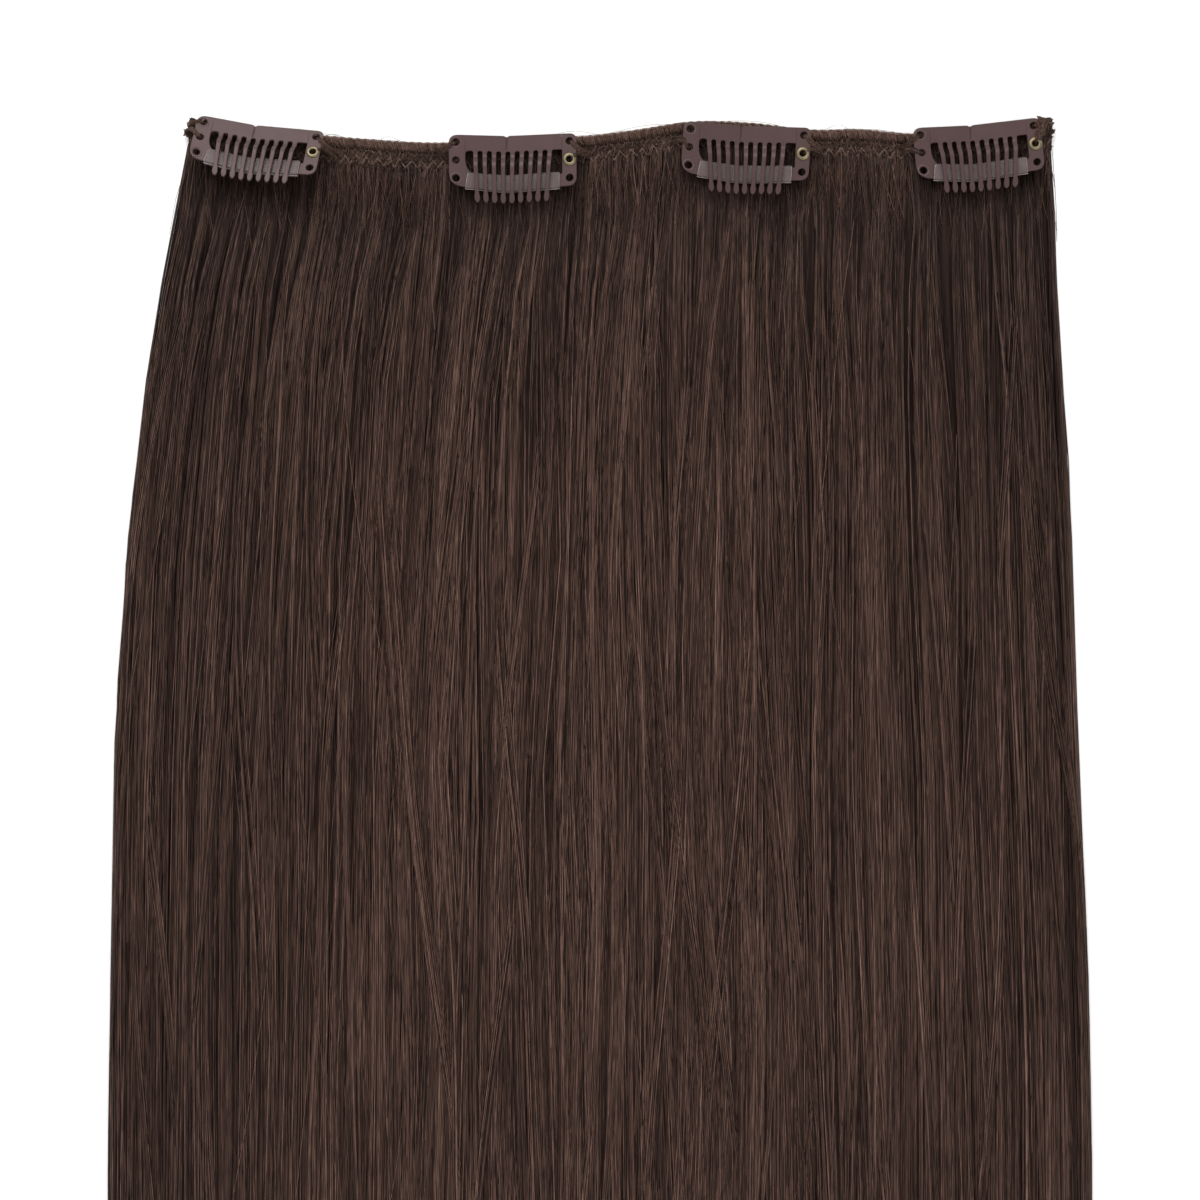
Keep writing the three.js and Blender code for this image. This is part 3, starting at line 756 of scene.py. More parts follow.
def band_stitches():
    """Whip stitches over the rolled edge, and the cords that run along it."""
    count = int((WEFT_LENGTH - 1.5) / STITCH_PITCH)
    x0 = BAND_LEFT + 0.9 + STITCH_PITCH * np.arange(count) + rng.uniform(-0.12, 0.12, count)
    turn = np.linspace(-0.35, 1.12, 9)[None] * math.pi
    lean = rng.uniform(0.15, 0.5, count)[:, None]
    size = rng.uniform(0.94, 1.04, count)[:, None]
    depth = 1.22 - 1.16 * size * np.cos(turn)
    z = 1.5 + 1.16 * size * np.sin(turn)
    x = x0[:, None] + lean * (depth - 1.2)
    parts = []
    for offset in (-0.23, 0.23):
        paths = on_track(x + offset, depth, np.maximum(z, 0.3))
        parts.append(thread_part(paths, 0.26, (1, 0, 0), 4, thread_tint(count, 0.4, 0.13)))
    # Two cords along the rolled edge and one in the groove: depth, height, radius and level
    line = np.linspace(BAND_LEFT + 0.6, BAND_RIGHT - 0.6, 620)
    wave = line * 2 * math.pi / STITCH_PITCH
    for place, height, radius, level in (
        (0.42, 2.5, 0.2, 0.75), (0.16, 1.9, 0.2, 0.4), (2.35, 1.75, 0.22, 0.12)
    ):
        path = on_track(line, place + 0.12 * np.sin(wave / 2), height + 0.08 * np.sin(wave + 1))
        parts.append(thread_part(path[None], radius, (0, 0, 1), 4, thread_tint(1, level, 0.0)))
    thread_piece("weft_stitches", parts)


def band_lace():
    """Curled hair ends between the rolled edge and the seam."""
    parts = []
    for layer, count in ((0, 190), (1, 230)):
        x0 = np.linspace(BAND_LEFT + 1.4, BAND_RIGHT - 1.4, count) + rng.uniform(-0.5, 0.5, count)
        t = np.linspace(0, 1, 14)[None]
        curl = rng.uniform(0.3, 0.7, count)[:, None]
        curl = curl * np.where(rng.random(count) < 0.5, -1, 1)[:, None]
        phase = rng.uniform(0, 2 * math.pi, count)[:, None]
        drop = rng.uniform(3.2, 4.3, count)[:, None]
        turns = rng.uniform(0.7, 1.9, count)[:, None]
        angle = phase + 2 * math.pi * turns * t
        for offset in (-0.16, 0.16):
            x = x0[:, None] + (curl + offset) * np.sin(angle) + 0.5 * offset
            depth = 2.5 + drop * t + (0.55 + offset) * np.cos(angle)
            z = 1.95 + 0.3 * layer + 0.3 * np.sin(angle + 1.2) - 0.5 * np.clip(t - 0.6, 0, 1)
            x = np.clip(x, BAND_LEFT + 0.3, BAND_RIGHT - 0.3)
            paths = on_track(x, np.clip(depth, 2.0, 7.2), np.clip(z, 0.4, 2.55))
            tint = thread_tint(count, 0.3 + 0.12 * layer, 0.22)
            parts.append(thread_part(paths, 0.11, (0, 0, 1), 3, tint, shaded=True))
    thread_piece("weft_lace", parts)


def band_zigzag():
    """The bright thread of the zigzag seam, two strands side by side."""
    parts = []
    sides = 156
    place = np.arange(sides + 1)
    corner_x = np.linspace(BAND_LEFT + 1.2, BAND_RIGHT - 1.2, sides + 1)
    corner_x[1:-1] += rng.uniform(-0.22, 0.22, sides - 1)
    corner_depth = np.where(place % 2, 6.6, 4.6) + rng.uniform(-0.35, 0.35, sides + 1)
    fine = np.linspace(0, sides, sides * 4 + 1)
    eased = np.floor(fine) + smooth(fine - np.floor(fine), -0.05, 1.05)
    x = np.interp(eased, place, corner_x)
    depth = np.interp(eased, place, corner_depth)
    z = 2.3 + 0.12 * np.cos(fine * math.pi * 2) - 0.25 * np.clip(depth - 5.5, 0, 2)
    for offset, radius, level in ((0.0, 0.12, 0.9), (0.22, 0.1, 0.6)):
        path = on_track(x + offset, depth + offset, z - 0.3 * offset)
        tint = thread_tint(1, level, 0.0)
        parts.append(thread_part(path[None], radius, (0, 0, 1), 4, tint, shaded=True))
    thread_piece("weft_zigzag", parts)


def from_clip(number, points):
    """Points of a clip's own frame in the part's frame."""
    along, behind, turn, tilt = CLIP_PLACES[number - 1][:4]
    x = WEFT_OFFSET + along * WEFT_LENGTH
    y = track_back(x) + behind * BAND_DEPTH
    z = CLIP_BASE - (behind * BAND_DEPTH + TRACK_RIDGE) * math.tan(math.radians(tilt))
    pitch = Matrix.Rotation(-math.radians(tilt), 3, "X")
    yaw = Matrix.Rotation(math.radians(turn), 3, "Z")
    return np.asarray(points, float) @ np.array(yaw @ pitch).T + np.array([x, y, z])


# Threads at a clip, in the clip's own frame: the clips that have the ribbon, its number of fibres,
# half its width, and its course over the plate's edge and down a hole.
RIBBONS = [
    ((1,), 26, 0.55, [
        (-18.3, -2.0, -0.7), (-17.4, -2.2, 0.6), (-16.4, -2.2, 1.32), (-15.3, -2.0, 1.45),
        (-14.6, -1.95, 1.1), (-14.3, -1.95, 0.1),
    ]),
    ((1,), 26, 0.55, [
        (-18.3, -3.4, -0.7), (-17.4, -4.0, 0.6), (-16.4, -4.9, 1.34), (-15.3, -5.9, 1.45),
        (-14.6, -6.4, 1.1), (-14.3, -6.6, 0.1),
    ]),
    ((2, 4), 11, 0.6, [
        (-18.9, -4.6, -0.9), (-17.5, -4.0, 0.6), (-16.3, -3.3, 1.32), (-15.3, -2.5, 1.42),
        (-14.6, -2.0, 1.1), (-14.3, -1.9, 0.1),
    ]),
    ((4,), 9, 0.6, [
        (-18.9, -5.0, -0.9), (-17.5, -5.2, 0.6), (-16.3, -5.7, 1.32), (-15.3, -6.3, 1.42),
        (-14.6, -6.6, 1.1), (-14.3, -6.6, 0.1),
    ]),
    ((3,), 9, 0.8, [
        (-18.9, -4.8, -0.9), (-17.5, -4.7, 0.6), (-16.4, -4.7, 1.3), (-15.5, -5.2, 1.4),
        (-14.8, -6.2, 1.1), (-14.4, -6.6, 0.1),
    ]),
    ((1, 2, 3), 30, 0.7, [
        (19.4, -4.9, -1.0), (18.0, -4.6, 0.5), (16.7, -4.0, 1.42), (15.6, -3.0, 1.52),
        (14.8, -2.1, 1.1), (14.4, -1.9, 0.1),
    ]),
    ((1, 2, 3), 10, 0.4, [
        (18.9, -5.3, -1.0), (17.8, -5.2, 0.6), (16.7, -5.2, 1.5), (15.8, -5.6, 1.9),
        (15.0, -6.2, 1.5), (14.5, -6.5, 0.2),
    ]),
    ((4,), 56, 1.05, [
        (17.3, 0.4, -0.4), (16.9, -0.9, 0.9), (16.3, -2.3, 1.55), (15.6, -4.0, 1.75),
        (15.0, -5.6, 1.9), (14.5, -6.5, 0.2),
    ]),
    ((4,), 20, 0.6, [
        (17.3, -0.2, -0.4), (16.8, -0.5, 0.8), (16.2, -1.0, 1.5), (15.5, -1.5, 1.55),
        (14.8, -1.9, 1.1), (14.4, -1.95, 0.1),
    ]),
    ((4,), 16, 0.7, [
        (17.5, 0.2, -0.4), (17.5, -1.4, 0.3), (17.3, -3.2, 0.1), (17.1, -5.0, -0.4),
        (17.0, -6.6, -1.0), (17.0, -7.6, -1.6),
    ]),
]
RIBBON_SPREAD = np.array([1.5, 1.15, 1.0, 0.9, 0.7, 0.5])


def clip_threads():
    """Threads that sew each clip down through its two back holes at each end."""
    paths, levels = [], []
    for numbers, fibres, half, course in RIBBONS:
        course = np.array(course)
        for number in numbers:
            along = course[3, :2] - course[0, :2]
            across = np.array([along[1], -along[0]]) / np.hypot(*along)
            for offset in np.linspace(-1, 1, fibres):
                spot = course + rng.uniform(-0.09, 0.09, course.shape) * np.array([1.6, 1.0, 0.7])
                spot[:, :2] += half * offset * RIBBON_SPREAD[:, None] * across
                spot[:, 2] -= 0.12 * offset**2
                paths.append(from_clip(number, spline(spot, 13)))
                # Fibres at a ribbon's sides lie lower and get painted shade.
                levels.append(0.38 - 0.2 * offset**2 + 0.2 * rng.standard_normal())
    paths = np.array(paths)
    paths[..., 2] = np.maximum(paths[..., 2], 0.9)
    tint = blend(THREAD_BROWN, np.array(levels))
    thread_piece("clip_threads", [thread_part(paths, 0.08, (0.2, 0.3, 0.93), 3, tint)], ())


def hole_knots():
    """Dark tangles of thread under the holes that are sewn down."""
    paths = []
    hole = PLATE_LENGTH / 2 - HOLE_INSET
    for number in range(1, 5):
        for x, y in ((-hole, -HOLE_EDGE), (-hole, -HOLE_EDGE - HOLE_PITCH), (hole, -HOLE_EDGE)):
            for _ in range(34):
                t = rng.uniform(0, 2 * math.pi) + np.linspace(0, rng.uniform(2.5, 5.0), 10)
                reach = rng.uniform(0.1, 1.35)
                spot = np.stack([x + reach * np.cos(t), y + reach * np.sin(t), 0 * t], axis=1)
                spot[:, 2] = -0.45 - 0.4 * rng.random() + 0.15 * np.sin(2 * t) + FOLD_RISE * 0.85
                paths.append(from_clip(number, spot))
    tint = blend(THREAD_BROWN, rng.uniform(0.0, 0.22, len(paths)))
    thread_piece("clip_knots", [thread_part(paths, 0.17, (0.1, 0.2, 0.97), 3, tint)], ())


# Knots at the track's two ends: middle of each blob, its size and its number of loops
END_BLOBS = [
    (BAND_LEFT + 1.75, -0.1, 0.95, 46), (BAND_LEFT + 0.7, -2.9, 1.15, 56),
    (BAND_RIGHT - 1.5, -0.1, 1.15, 60), (BAND_RIGHT - 0.7, -2.6, 0.8, 34),
]


def end_tufts():
    """Frayed knots where the track starts and ends."""
    paths = []
    for x0, y0, size, loops in END_BLOBS:
        for _ in range(loops):
            reach = size * rng.uniform(0.3, 1.0)
            t = rng.uniform(0, 2 * math.pi) + np.linspace(0, rng.uniform(2.6, 5.0), 12)
            squash, lean = rng.uniform(0.4, 1.0), rng.uniform(0, math.pi)
            a, b = reach * np.cos(t), reach * squash * np.sin(t)
            x = x0 + a * math.cos(lean) - b * math.sin(lean)
            y = y0 + a * math.sin(lean) + b * math.cos(lean)
            z = 1.7 + 0.8 * size * np.sin(t + rng.uniform(0, 6)) * rng.uniform(0.2, 1.0)
            paths.append(np.stack([x, y, np.clip(z, 0.2, 3.2)], axis=1))
        side = np.sign(x0)
        for _ in range(loops // 5):
            t = np.linspace(0, 1, 12)
            way = rng.uniform(-1.3, 0.8)
            reach = size * rng.uniform(0.9, 1.5)
            x = x0 + side * reach * t * math.cos(way) + 0.12 * np.sin(6 * t + 4 * way)
            y = y0 + reach * t * math.sin(way) + 0.15 * np.sin(4 * t + 3 * way)
            z = 1.8 + rng.uniform(-0.9, 0.5) * t
            paths.append(np.stack([x, y, np.clip(z, 0.2, 3.0)], axis=1))
    tint = thread_tint(len(paths), 0.3, 0.2)
    thread_piece("weft_end_knots", [thread_part(paths, 0.13, (0.1, 0.2, 0.97), 3, tint)], ())


def edge_hairs():
    """Fine hairs that stand up in low arches behind the track's edge."""
    count = 20
    t = np.linspace(0, 1, 14)[None]
    own = rng.uniform(0, 1, (count, 4))
    start = lerp(BAND_LEFT + 12, BAND_RIGHT - 26, own[:, :1])
    x = start + lerp(5, 22, own[:, 1:2] ** 1.5) * t
    rise = lerp(0.3, 1.7, own[:, 2:3] ** 2) * np.sin(math.pi * t ** lerp(0.6, 1.5, own[:, 3:4]))
    paths = on_track(x, 0.3 - rise, 2.3 + 0.3 * np.sin(math.pi * t))
    tint = np.repeat(blend(HAIR_COLORS, lerp(0.7, 1.0, own[:, 1:2])), 14, axis=1)
    strand_object("hair_edge_stray", paths, 0.045, tint)


# Snap clips
def rounded(corners, steps=7):
    """An outline with rounded corners from (x, y, radius)."""
    points = []
    for i, (x, y, r) in enumerate(corners):
        here = np.array([x, y])
        if r == 0:
            points.append(here)
            continue
        ends = []
        for other in (corners[i - 1], corners[(i + 1) % len(corners)]):
            way = np.array(other[:2]) - here
            ends.append(here + way / np.linalg.norm(way) * r)
        for t in np.linspace(0, 1, steps):
            points.append((1 - t) ** 2 * ends[0] + 2 * t * (1 - t) * here + t * t * ends[1])
    return np.array(points)


def ring_points(x, y, radius, steps=22):
    angle = np.linspace(0, 2 * math.pi, steps, endpoint=False)
    return np.stack([x + radius * np.cos(angle), y + radius * np.sin(angle)], axis=1)


def corner_arcs(corners):
    """Points of quarter circles from (x, y, radius, quarter turns to their start)."""
    return [
        (x + r * math.cos(a), y + r * math.sin(a))
        for x, y, r, start in corners
        for a in (start + np.linspace(0, 1, 5)) * math.pi / 2
    ]


def plate_mesh(name, outlines):
    """A flat plate with rounded edges from outlines, the first outside and the rest holes."""
    curve = bpy.data.curves.new(name, "CURVE")
    curve.dimensions = "2D"
    curve.fill_mode = "BOTH"
    curve.extrude = PLATE_THICKNESS / 2 - BEVEL
    curve.bevel_depth = BEVEL
    curve.bevel_resolution = 1
    curve.offset = -BEVEL
    for outline in outlines:
        path = curve.splines.new("POLY")
        path.points.add(len(outline) - 1)
        for point, (x, y) in zip(path.points, outline):
            point.co = (x, y, 0, 1)
        path.use_cyclic_u = True
    obj = add_object(name, curve)
    evaluated = obj.evaluated_get(bpy.context.evaluated_depsgraph_get())
    mesh = bpy.data.meshes.new_from_object(evaluated)
    bpy.data.objects.remove(obj)
    bpy.data.curves.remove(curve)
    work = bmesh.new()
    work.from_mesh(mesh)
    bpy.data.meshes.remove(mesh)
    bmesh.ops.remove_doubles(work, verts=work.verts, dist=0.004)
    for vert in work.verts:
        vert.co.z += PLATE_THICKNESS / 2
    return work


def slice_plate(work, axis, places):
    for place in places:
        point, normal = [0, 0, 0], [0, 0, 0]
        point[axis] = place
        normal[axis] = 1
        geometry = work.verts[:] + work.edges[:] + work.faces[:]
        bmesh.ops.bisect_plane(work, geom=geometry, dist=1e-4, plane_co=point, plane_no=normal)


def mark_flats(work):
    """Creases between the flat faces and the rounded edges keep the flats flat."""
    for face in work.faces:
        face.smooth = True
    for edge in work.edges:
        flats = [abs(face.normal.z) > 0.999 for face in edge.link_faces]
        edge.smooth = len(flats) != 2 or flats[0] == flats[1]


def folded(points, middle_sag=FRONT_SAG, lift=LEFT_LIFT):
    out = np.abs(points[:, 0] - SLIT_OFFSET) / FOLD_REACH
    to_front = -points[:, 1] / PLATE_DEPTH
    made = points.copy()
    made[:, 1] -= lerp(BACK_SAG, middle_sag, to_front) * (1 - out)
    made[:, 1] += lift * out * to_front * (points[:, 0] < SLIT_OFFSET)
    made[:, 2] += FOLD_RISE * out
    return made


def placed_object(name, work, number, *fold):
    """A worked plate folded, put in its place on the weft and made an object."""
    mesh = bpy.data.meshes.new(name)
    work.to_mesh(mesh)
    points = np.zeros(len(mesh.vertices) * 3, np.float32)
    mesh.vertices.foreach_get("co", points)
    points = from_clip(number, folded(points.reshape(-1, 3).astype(float), *fold))
    mesh.vertices.foreach_set("co", metres(points))
    mesh.update()
    return add_object(name, mesh)


def flatten_seam(work, seam, keep_side, low):
    """Square edges where the comb's back bar meets an end plate, so that their seam hardly shows."""
    for vert in work.verts:
        near = abs(vert.co.x - seam) < BEVEL * 1.3
        if near and vert.co.y > low and (vert.co.x - seam) * keep_side > -0.05:
            vert.co.x = seam


def frame_plate():
    half = PLATE_LENGTH / 2
    bar = -PLATE_DEPTH + FRONT_BAR_DEPTH
    outline = rounded(
        [
            (-half, 0, BACK_LEFT_RADIUS),
            (-half, -PLATE_DEPTH, FRONT_LEFT_RADIUS),
            (half, -PLATE_DEPTH, FRONT_RIGHT_RADIUS),
            (half, 0, BACK_RIGHT_RADIUS),
            (WINDOW_RIGHT + SEAM, 0, 0),
            (WINDOW_RIGHT + SEAM, -BACK_BAR_DEPTH - CORNER, 0),
            (WINDOW_RIGHT, bar, 0.35),
            (WINDOW_LEFT, bar, 4.0),
            (WINDOW_LEFT - SEAM, -BACK_BAR_DEPTH - LEFT_CORNER, 0),
            (WINDOW_LEFT - SEAM, 0, 0),
        ]
    )
    outlines = [outline]
    for side in (-1, 1):
        for i in range(3):
            radius = EYELET_HOLE if side > 0 and i == 1 else HOLE_RADIUS
            x, y = side * (half - HOLE_INSET), -HOLE_EDGE - i * HOLE_PITCH
            outlines.append(ring_points(x, y, radius))
    work = plate_mesh("frame", outlines)
    flatten_seam(work, WINDOW_LEFT - SEAM, -1, -BACK_BAR_DEPTH - LEFT_CORNER / 2)
    flatten_seam(work, WINDOW_RIGHT + SEAM, 1, -BACK_BAR_DEPTH - CORNER / 2)
    slice_plate(work, 0, [SLIT_OFFSET])
    mark_flats(work)
    return work


def tooth_root(i):
    return FIRST_TOOTH + i * TOOTH_PITCH


# Half width of a tooth along its length, as shares
TOOTH_OUTLINE = [
    (0.0, 0.5), (0.1, 0.49), (0.3, 0.46), (0.5, 0.44), (0.7, 0.43), (0.77, 0.42), (0.81, 0.45),
    (0.85, 0.54), (0.885, 0.595), (0.92, 0.585), (0.95, 0.52), (0.975, 0.39), (0.992, 0.2),
    (1.0, 0.0),
]


def comb_plate(lean, draw):
    left, right = WINDOW_LEFT + SEAM, WINDOW_RIGHT - SEAM
    middle = (FIRST_TOOTH + LAST_TOOTH) / 2
    mouth = [
        (1.1, 0.0), (0.7, 0.04), (0.4, 0.14), (0.24, 0.3), (0.15, 0.5), (0.145, BACK_BAR_DEPTH - 0.4),
    ]
    points = [(left, 0)]
    points += [(SLIT_OFFSET - half, -depth) for half, depth in mouth]
    points += [(SLIT_OFFSET + half, -depth) for half, depth in reversed(mouth)]
    points.append((right, 0))

    def slot_arc(x_right, x_left, right_radius, left_radius):
        right_corner = (x_right - right_radius, -BACK_BAR_DEPTH - right_radius, right_radius, 0)
        left_corner = (x_left + left_radius, -BACK_BAR_DEPTH - left_radius, left_radius, 1)
        return corner_arcs([right_corner, left_corner])

    def tooth(i):
        root = tooth_root(i)
        tip = middle + (root - middle) * draw + lean
        made = []
        for sign in (1, -1):
            rows = TOOTH_OUTLINE if sign > 0 else TOOTH_OUTLINE[-2::-1]
            for reach, half in rows:
                y = -lerp(TOOTH_START + 0.02, TOOTH_REACH, reach)
                bend = reach if reach > 0.12 else reach * reach / 0.12
                made.append((lerp(root, tip, bend) + sign * half * TOOTH_WIDTH, y))
        return made

    edge = tooth_root(TOOTH_COUNT - 1) + TOOTH_WIDTH / 2
    points += slot_arc(right, edge, CORNER, SLOT_CORNER)
    for i in reversed(range(TOOTH_COUNT)):
        points += tooth(i)
        x_right = tooth_root(i) - TOOTH_WIDTH / 2
        x_left = tooth_root(i - 1) + TOOTH_WIDTH / 2 if i else left
        points += slot_arc(x_right, x_left, SLOT_CORNER, SLOT_CORNER if i else LEFT_CORNER)
    work = plate_mesh("comb", [np.array(points)])
    flatten_seam(work, left, 1, -BACK_BAR_DEPTH - LEFT_CORNER / 2)
    flatten_seam(work, right, -1, -BACK_BAR_DEPTH - CORNER / 2)
    slice_plate(work, 0, [SLIT_OFFSET])
    bends = [4.9, 5.2, 5.5, 5.8, 6.1, 6.4, 6.8, 7.2, 7.8, 8.6, 9.6, 11.0, 12.4, 13.8, 15.0]
    slice_plate(work, 1, -np.array(bends))
    mark_flats(work)
    # A thin lap under the slit, which looks shut from above
    low, high = 0.06, 0.2
    lap = [(-0.3, -0.25), (-0.3, -3.55), (0.3, -3.55), (0.3, -0.25)]
    corners = [(SLIT_OFFSET + x, y) for x, y in lap]
    rows = [[work.verts.new((x, y, z)) for x, y in corners] for z in (low, high)]
    work.faces.new(rows[0][::-1])
    work.faces.new(rows[1])
    for i in range(4):
        work.faces.new((rows[0][i - 1], rows[0][i], rows[1][i], rows[1][i - 1]))
    for vert in work.verts:
        reach = (-vert.co.y - TOOTH_START) / (TOOTH_REACH - TOOTH_START)
        if reach > 0:
            vert.co.z += TOOTH_RISE * float(tooth_lift(reach))
    return work


def sleeve_mesh():
    """A translucent flat tube round the front bar, its left end drawn up over the window's corner."""
    left, right = SLEEVE_LEFT, SLEEVE_RIGHT
    middle_y, middle_z = -PLATE_DEPTH + FRONT_BAR_DEPTH / 2, PLATE_THICKNESS / 2
    half_y, half_z = FRONT_BAR_DEPTH / 2 + SLEEVE_GAP, PLATE_THICKNESS / 2 + SLEEVE_GAP

    def section(wall, r):
        y, z = half_y - wall - r, half_z - wall - r
        return corner_arcs([(y, z, r, 0), (-y, z, r, 1), (-y, -z, r, 2), (y, -z, r, 3)])

    xs = [
        left, left + 0.12, left + 0.5, left + 1.3, -6, SLIT_OFFSET,
        4, 8, right - 0.4, right - 0.1, right,
    ]
    rings = []
    for profile in (section(0, 0.32), section(SLEEVE_WALL, 0.1)):
        for x in xs:
            shrink = 0.16 * (1 - min(min(x - left, right - x) / 0.12, 1))
            slant = 0.6 * max(0.0, 1 - (x - left) / 1.3)
            rings += [
                [
                    x - slant * (1 - (y + half_y) / (2 * half_y)),
                    middle_y + y * (1 - shrink / half_y),
                    middle_z + z * (1 - shrink / half_z),
                ]
                for y, z in profile
            ]
    steps = len(xs)
    half = len(rings) // 2
    sides = half // steps
    i = np.arange(sides)
    j = (i + 1) % sides
    end = half - sides
    walls = ring_quads(steps, sides)
    quads = [
        walls[:, FLIPPED],
        half + walls,
        np.stack([i, j, half + j, half + i], axis=1),
        np.stack([end + i, half + end + i, half + end + j, end + j], axis=1),
    ]
    return np.array(rings), [np.concatenate(quads)[:, ::-1]]


def sleeve_glints():
    """Thin lighter tubes along the sleeve's front fold and its two ends: painted highlights on its
    edges.
    """
    front, back = -PLATE_DEPTH - 0.47, -PLATE_DEPTH + FRONT_BAR_DEPTH + 0.42
    left, right = SLEEVE_LEFT, SLEEVE_RIGHT
    mid, top = PLATE_THICKNESS / 2 + 0.1, PLATE_THICKNESS + 0.47
    fold = [
        (left - 0.58, front, mid), (left + 0.5, front - 0.02, mid), (SLIT_OFFSET, front, mid),
        (right - 1, front - 0.02, mid), (right, front, mid),
    ]
    left_end = [(left - 0.55, front + 0.2, top - 0.1), (left, back - 0.3, top)]
    right_end = [(right, front + 0.2, top - 0.1), (right, back - 0.3, top)]
    parts = []
    for row, radius in ((fold, 0.11), (left_end, 0.06), (right_end, 0.06)):
        parts.append(tubes(folded(spline(row, 24))[None], radius, (0, 0.1, 1), sides=4))
    return join_parts(parts)


def eyelet_mesh():
    """A brass eyelet turned from a rounded profile, with its bore open."""
    top = PLATE_THICKNESS / 2 + 0.06
    profile = np.array([
        (EYELET_BORE, -0.55), (EYELET_BORE, 0.0), (EYELET_BORE + 0.01, top + 0.1),
        (EYELET_BORE + 0.08, top + 0.26), (EYELET_BORE + 0.24, top + 0.37),
        (EYELET_BORE + 0.44, top + 0.36), (EYELET_RADIUS - 0.16, top + 0.22),
        (EYELET_RADIUS - 0.03, top + 0.08), (EYELET_RADIUS, top - 0.02),
        (EYELET_RADIUS - 0.06, top - 0.05), (EYELET_BORE + 0.28, top - 0.05),
        (EYELET_BORE + 0.26, -0.3), (EYELET_RADIUS - 0.25, -0.36), (EYELET_RADIUS - 0.2, -0.5),
        (EYELET_RADIUS - 0.35, -0.6), (EYELET_BORE + 0.1, -0.62),
    ])
    steps = 32
    angle = np.linspace(0, 2 * math.pi, steps, endpoint=False)[:, None]
    r, z = profile.T
    points = np.stack([r * np.cos(angle), r * np.sin(angle), z + 0 * angle], axis=2).reshape(-1, 3)
    tilt = -math.atan(FOLD_RISE / FOLD_REACH)
    c, s = math.cos(tilt), math.sin(tilt)
    x, z = points[:, 0].copy(), points[:, 2].copy()
    points[:, 0] = x * c + z * s
    points[:, 2] = -x * s + z * c
    eyelet_x = PLATE_LENGTH / 2 - HOLE_INSET
    eyelet_y = -HOLE_EDGE - HOLE_PITCH
    out = (eyelet_x - SLIT_OFFSET) / FOLD_REACH
    sag = lerp(BACK_SAG, FRONT_SAG, -eyelet_y / PLATE_DEPTH)
    points += np.array([eyelet_x, eyelet_y - sag * (1 - out), PLATE_THICKNESS / 2 + FOLD_RISE * out])
    return points, [ring_quads(steps, len(profile), closed=True)]


def boss_mesh(x, y):
    """An embossed ring round a sewing hole."""
    steps, sides = 36, 8
    a = np.linspace(0, 2 * math.pi, steps, endpoint=False)[:, None]
    b = np.linspace(0, 2 * math.pi, sides, endpoint=False)[None]
    r = BOSS_RADIUS + 0.14 * np.cos(b)
    points = np.stack(
        [x + r * np.cos(a), y + r * np.sin(a), PLATE_THICKNESS + 0.13 * np.sin(b) + 0 * a], axis=2
    )
    return points.reshape(-1, 3), [ring_quads(steps, sides, closed=True)[:, FLIPPED]]


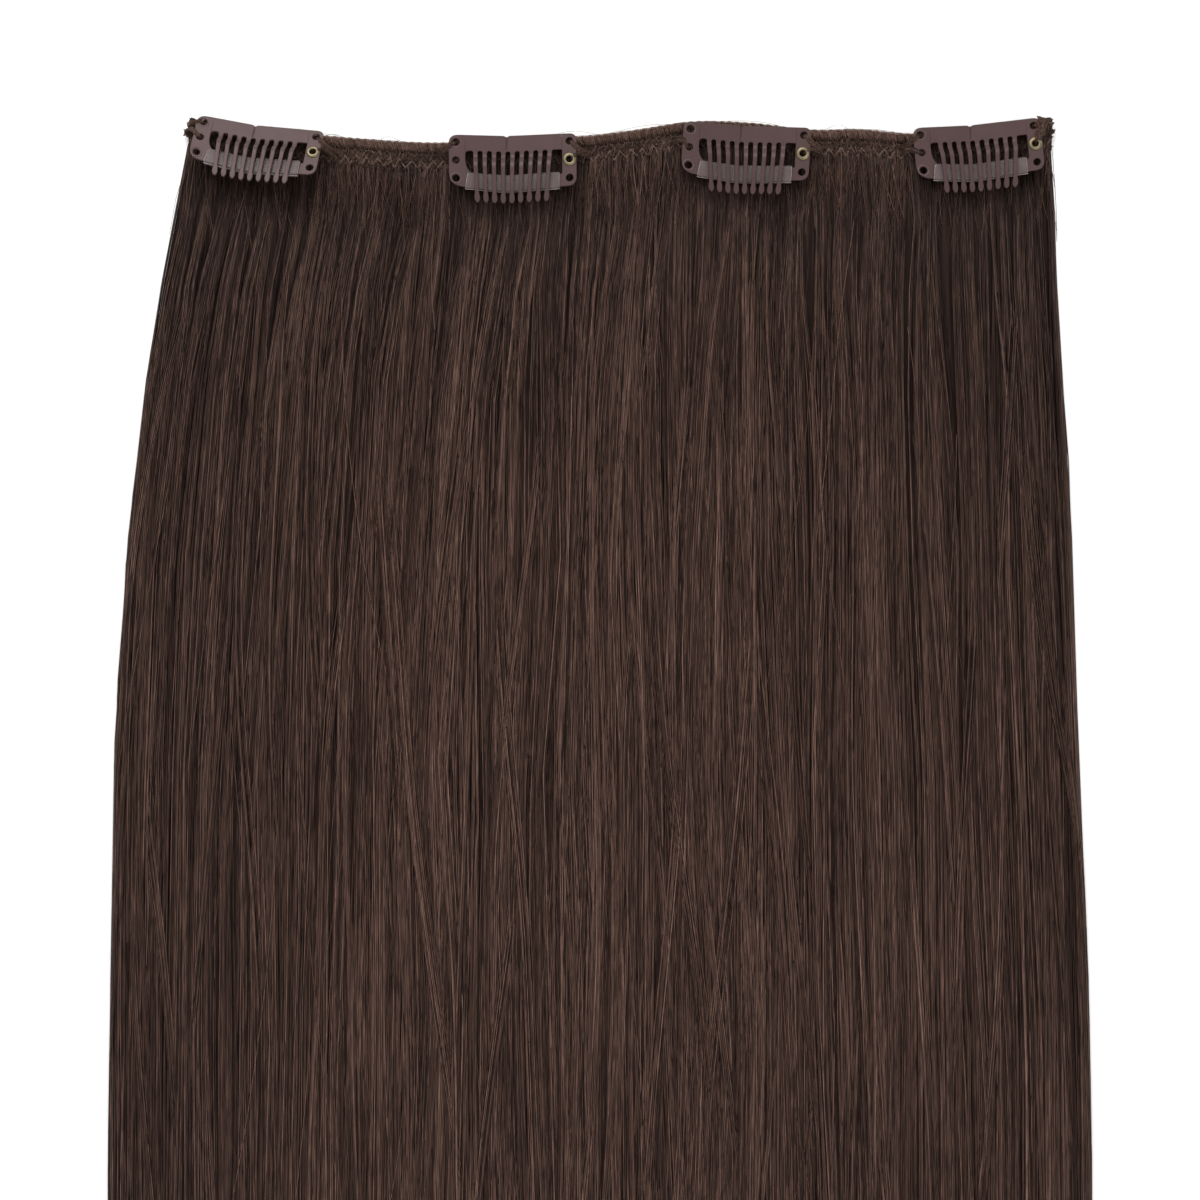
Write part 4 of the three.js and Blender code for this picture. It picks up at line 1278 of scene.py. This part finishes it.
def clips():
    paint = paint_material("clip_paint", (0.053, 0.0292, 0.0276), (0.061, 0.0343, 0.0325))
    # A lighter copy of the clip paint for the embossed rings: painted highlight on their raised tops.
    highlight_paint = paint_material("clip_paint_highlight", (0.074, 0.045, 0.043), (0.11, 0.071, 0.068))
    silicone = plain_material(
        "silicone", 300, 1, 0.35, (0.14, 0.105, 0.107), (0.165, 0.127, 0.13),
        Roughness=0.32, Specular_IOR_Level=0.2, Alpha=0.5,
    )
    # Lighter colour for the tubes along the sleeve's edges: painted highlight.
    glint_paint = plain_material(
        "silicone_glint", 700, 2, 0.35, (0.22, 0.18, 0.165), (0.42, 0.36, 0.33),
        Roughness=0.35, Specular_IOR_Level=0.4,
    )
    brass = plain_material(
        "brass", 900, 3, 0.3, (0.14, 0.114, 0.069), (0.22, 0.182, 0.113),
        Roughness=0.36, Metallic=0.9,
    )

    def add(part, points, faces, material, slot, *nodes):
        obj = mesh_object(f"clip_{number}_{part}", from_clip(number, points), faces)
        finish_piece(obj, material, "weft", nodes)

    bosses_x = HOLE_INSET - PLATE_LENGTH / 2
    frame_work = frame_plate()
    for number, (*_, lean, draw) in enumerate(CLIP_PLACES, 1):
        obj = placed_object(f"clip_{number}_frame", frame_work, number)
        finish_piece(obj, paint, "weft", [f"clip_frame_{number}"])
        comb_work = comb_plate(lean, draw)
        obj = placed_object(f"clip_{number}_comb", comb_work, number, COMB_SAG, 0.0)
        comb_work.free()
        finish_piece(obj, paint, f"comb_{number}", [f"clip_comb_{number}"])
        points, faces = sleeve_mesh()
        add("sleeve", folded(points), faces, silicone, "silicone", f"clip_sleeve_{number}")
        # Thin tubes that carry painted highlights along the sleeve's edges.
        add("sleeve_glints", *sleeve_glints(), glint_paint, "silicone")
        add("eyelet", *eyelet_mesh(), brass, "brass", f"clip_eyelet_{number}")
        rings = [boss_mesh(bosses_x, -HOLE_EDGE), boss_mesh(bosses_x, -HOLE_EDGE - 2 * HOLE_PITCH)]
        points, faces = join_parts(rings)
        # The rings get the lighter paint as a painted highlight.
        add("bosses", folded(points), faces, highlight_paint, "painted_steel")
    frame_work.free()


# Floor and light
def studio():
    floor_mesh = bpy.data.meshes.new("floor")
    size = 6.0
    floor_mesh.from_pydata(
        [(-size, -size, 0), (size, -size, 0), (size, size, 0), (-size, size, 0)], [], [(0, 1, 2, 3)]
    )
    floor = add_object("floor", floor_mesh)
    nodes = Nodes("floor_paper")
    nodes.set(Base_Color=(0.93, 0.93, 0.93, 1), Roughness=0.9, Specular_IOR_Level=0.1)
    floor_mesh.materials.append(nodes.material)
    floor.location.z = -0.0001

    world = bpy.data.worlds.new("world")
    world.use_nodes = True
    sky = world.node_tree.nodes["Background"].inputs
    sky["Color"].default_value = (1, 1, 1, 1)
    sky["Strength"].default_value = 0.95
    bpy.context.scene.world = world
    bpy.context.scene.view_settings.view_transform = "Standard"

    def soft_light(name, place, target, power, width, height):
        data = bpy.data.lights.new(name, "AREA")
        data.shape = "RECTANGLE"
        data.size, data.size_y = width, height
        data.energy = power
        light = add_object(name, data)
        light.location = place
        way = np.array(target) - np.array(place)
        light.rotation_mode = "QUATERNION"
        light.rotation_quaternion = Vector(way).to_track_quat("-Z", "Y")

    soft_light("key", (-0.3, 1.0, 0.85), (0, 0.1, 0), 10.5, 0.9, 0.7)
    soft_light("fill", (0.9, -0.5, 1.1), (0, 0.1, 0), 4, 0.8, 0.8)


hair_body()
hair_strands()
hair_overlay()
root_fuzz()
loose_hairs()
band_base()
band_stitches()
band_lace()
band_zigzag()
clip_threads()
hole_knots()
end_tufts()
edge_hairs()
clips()
studio()
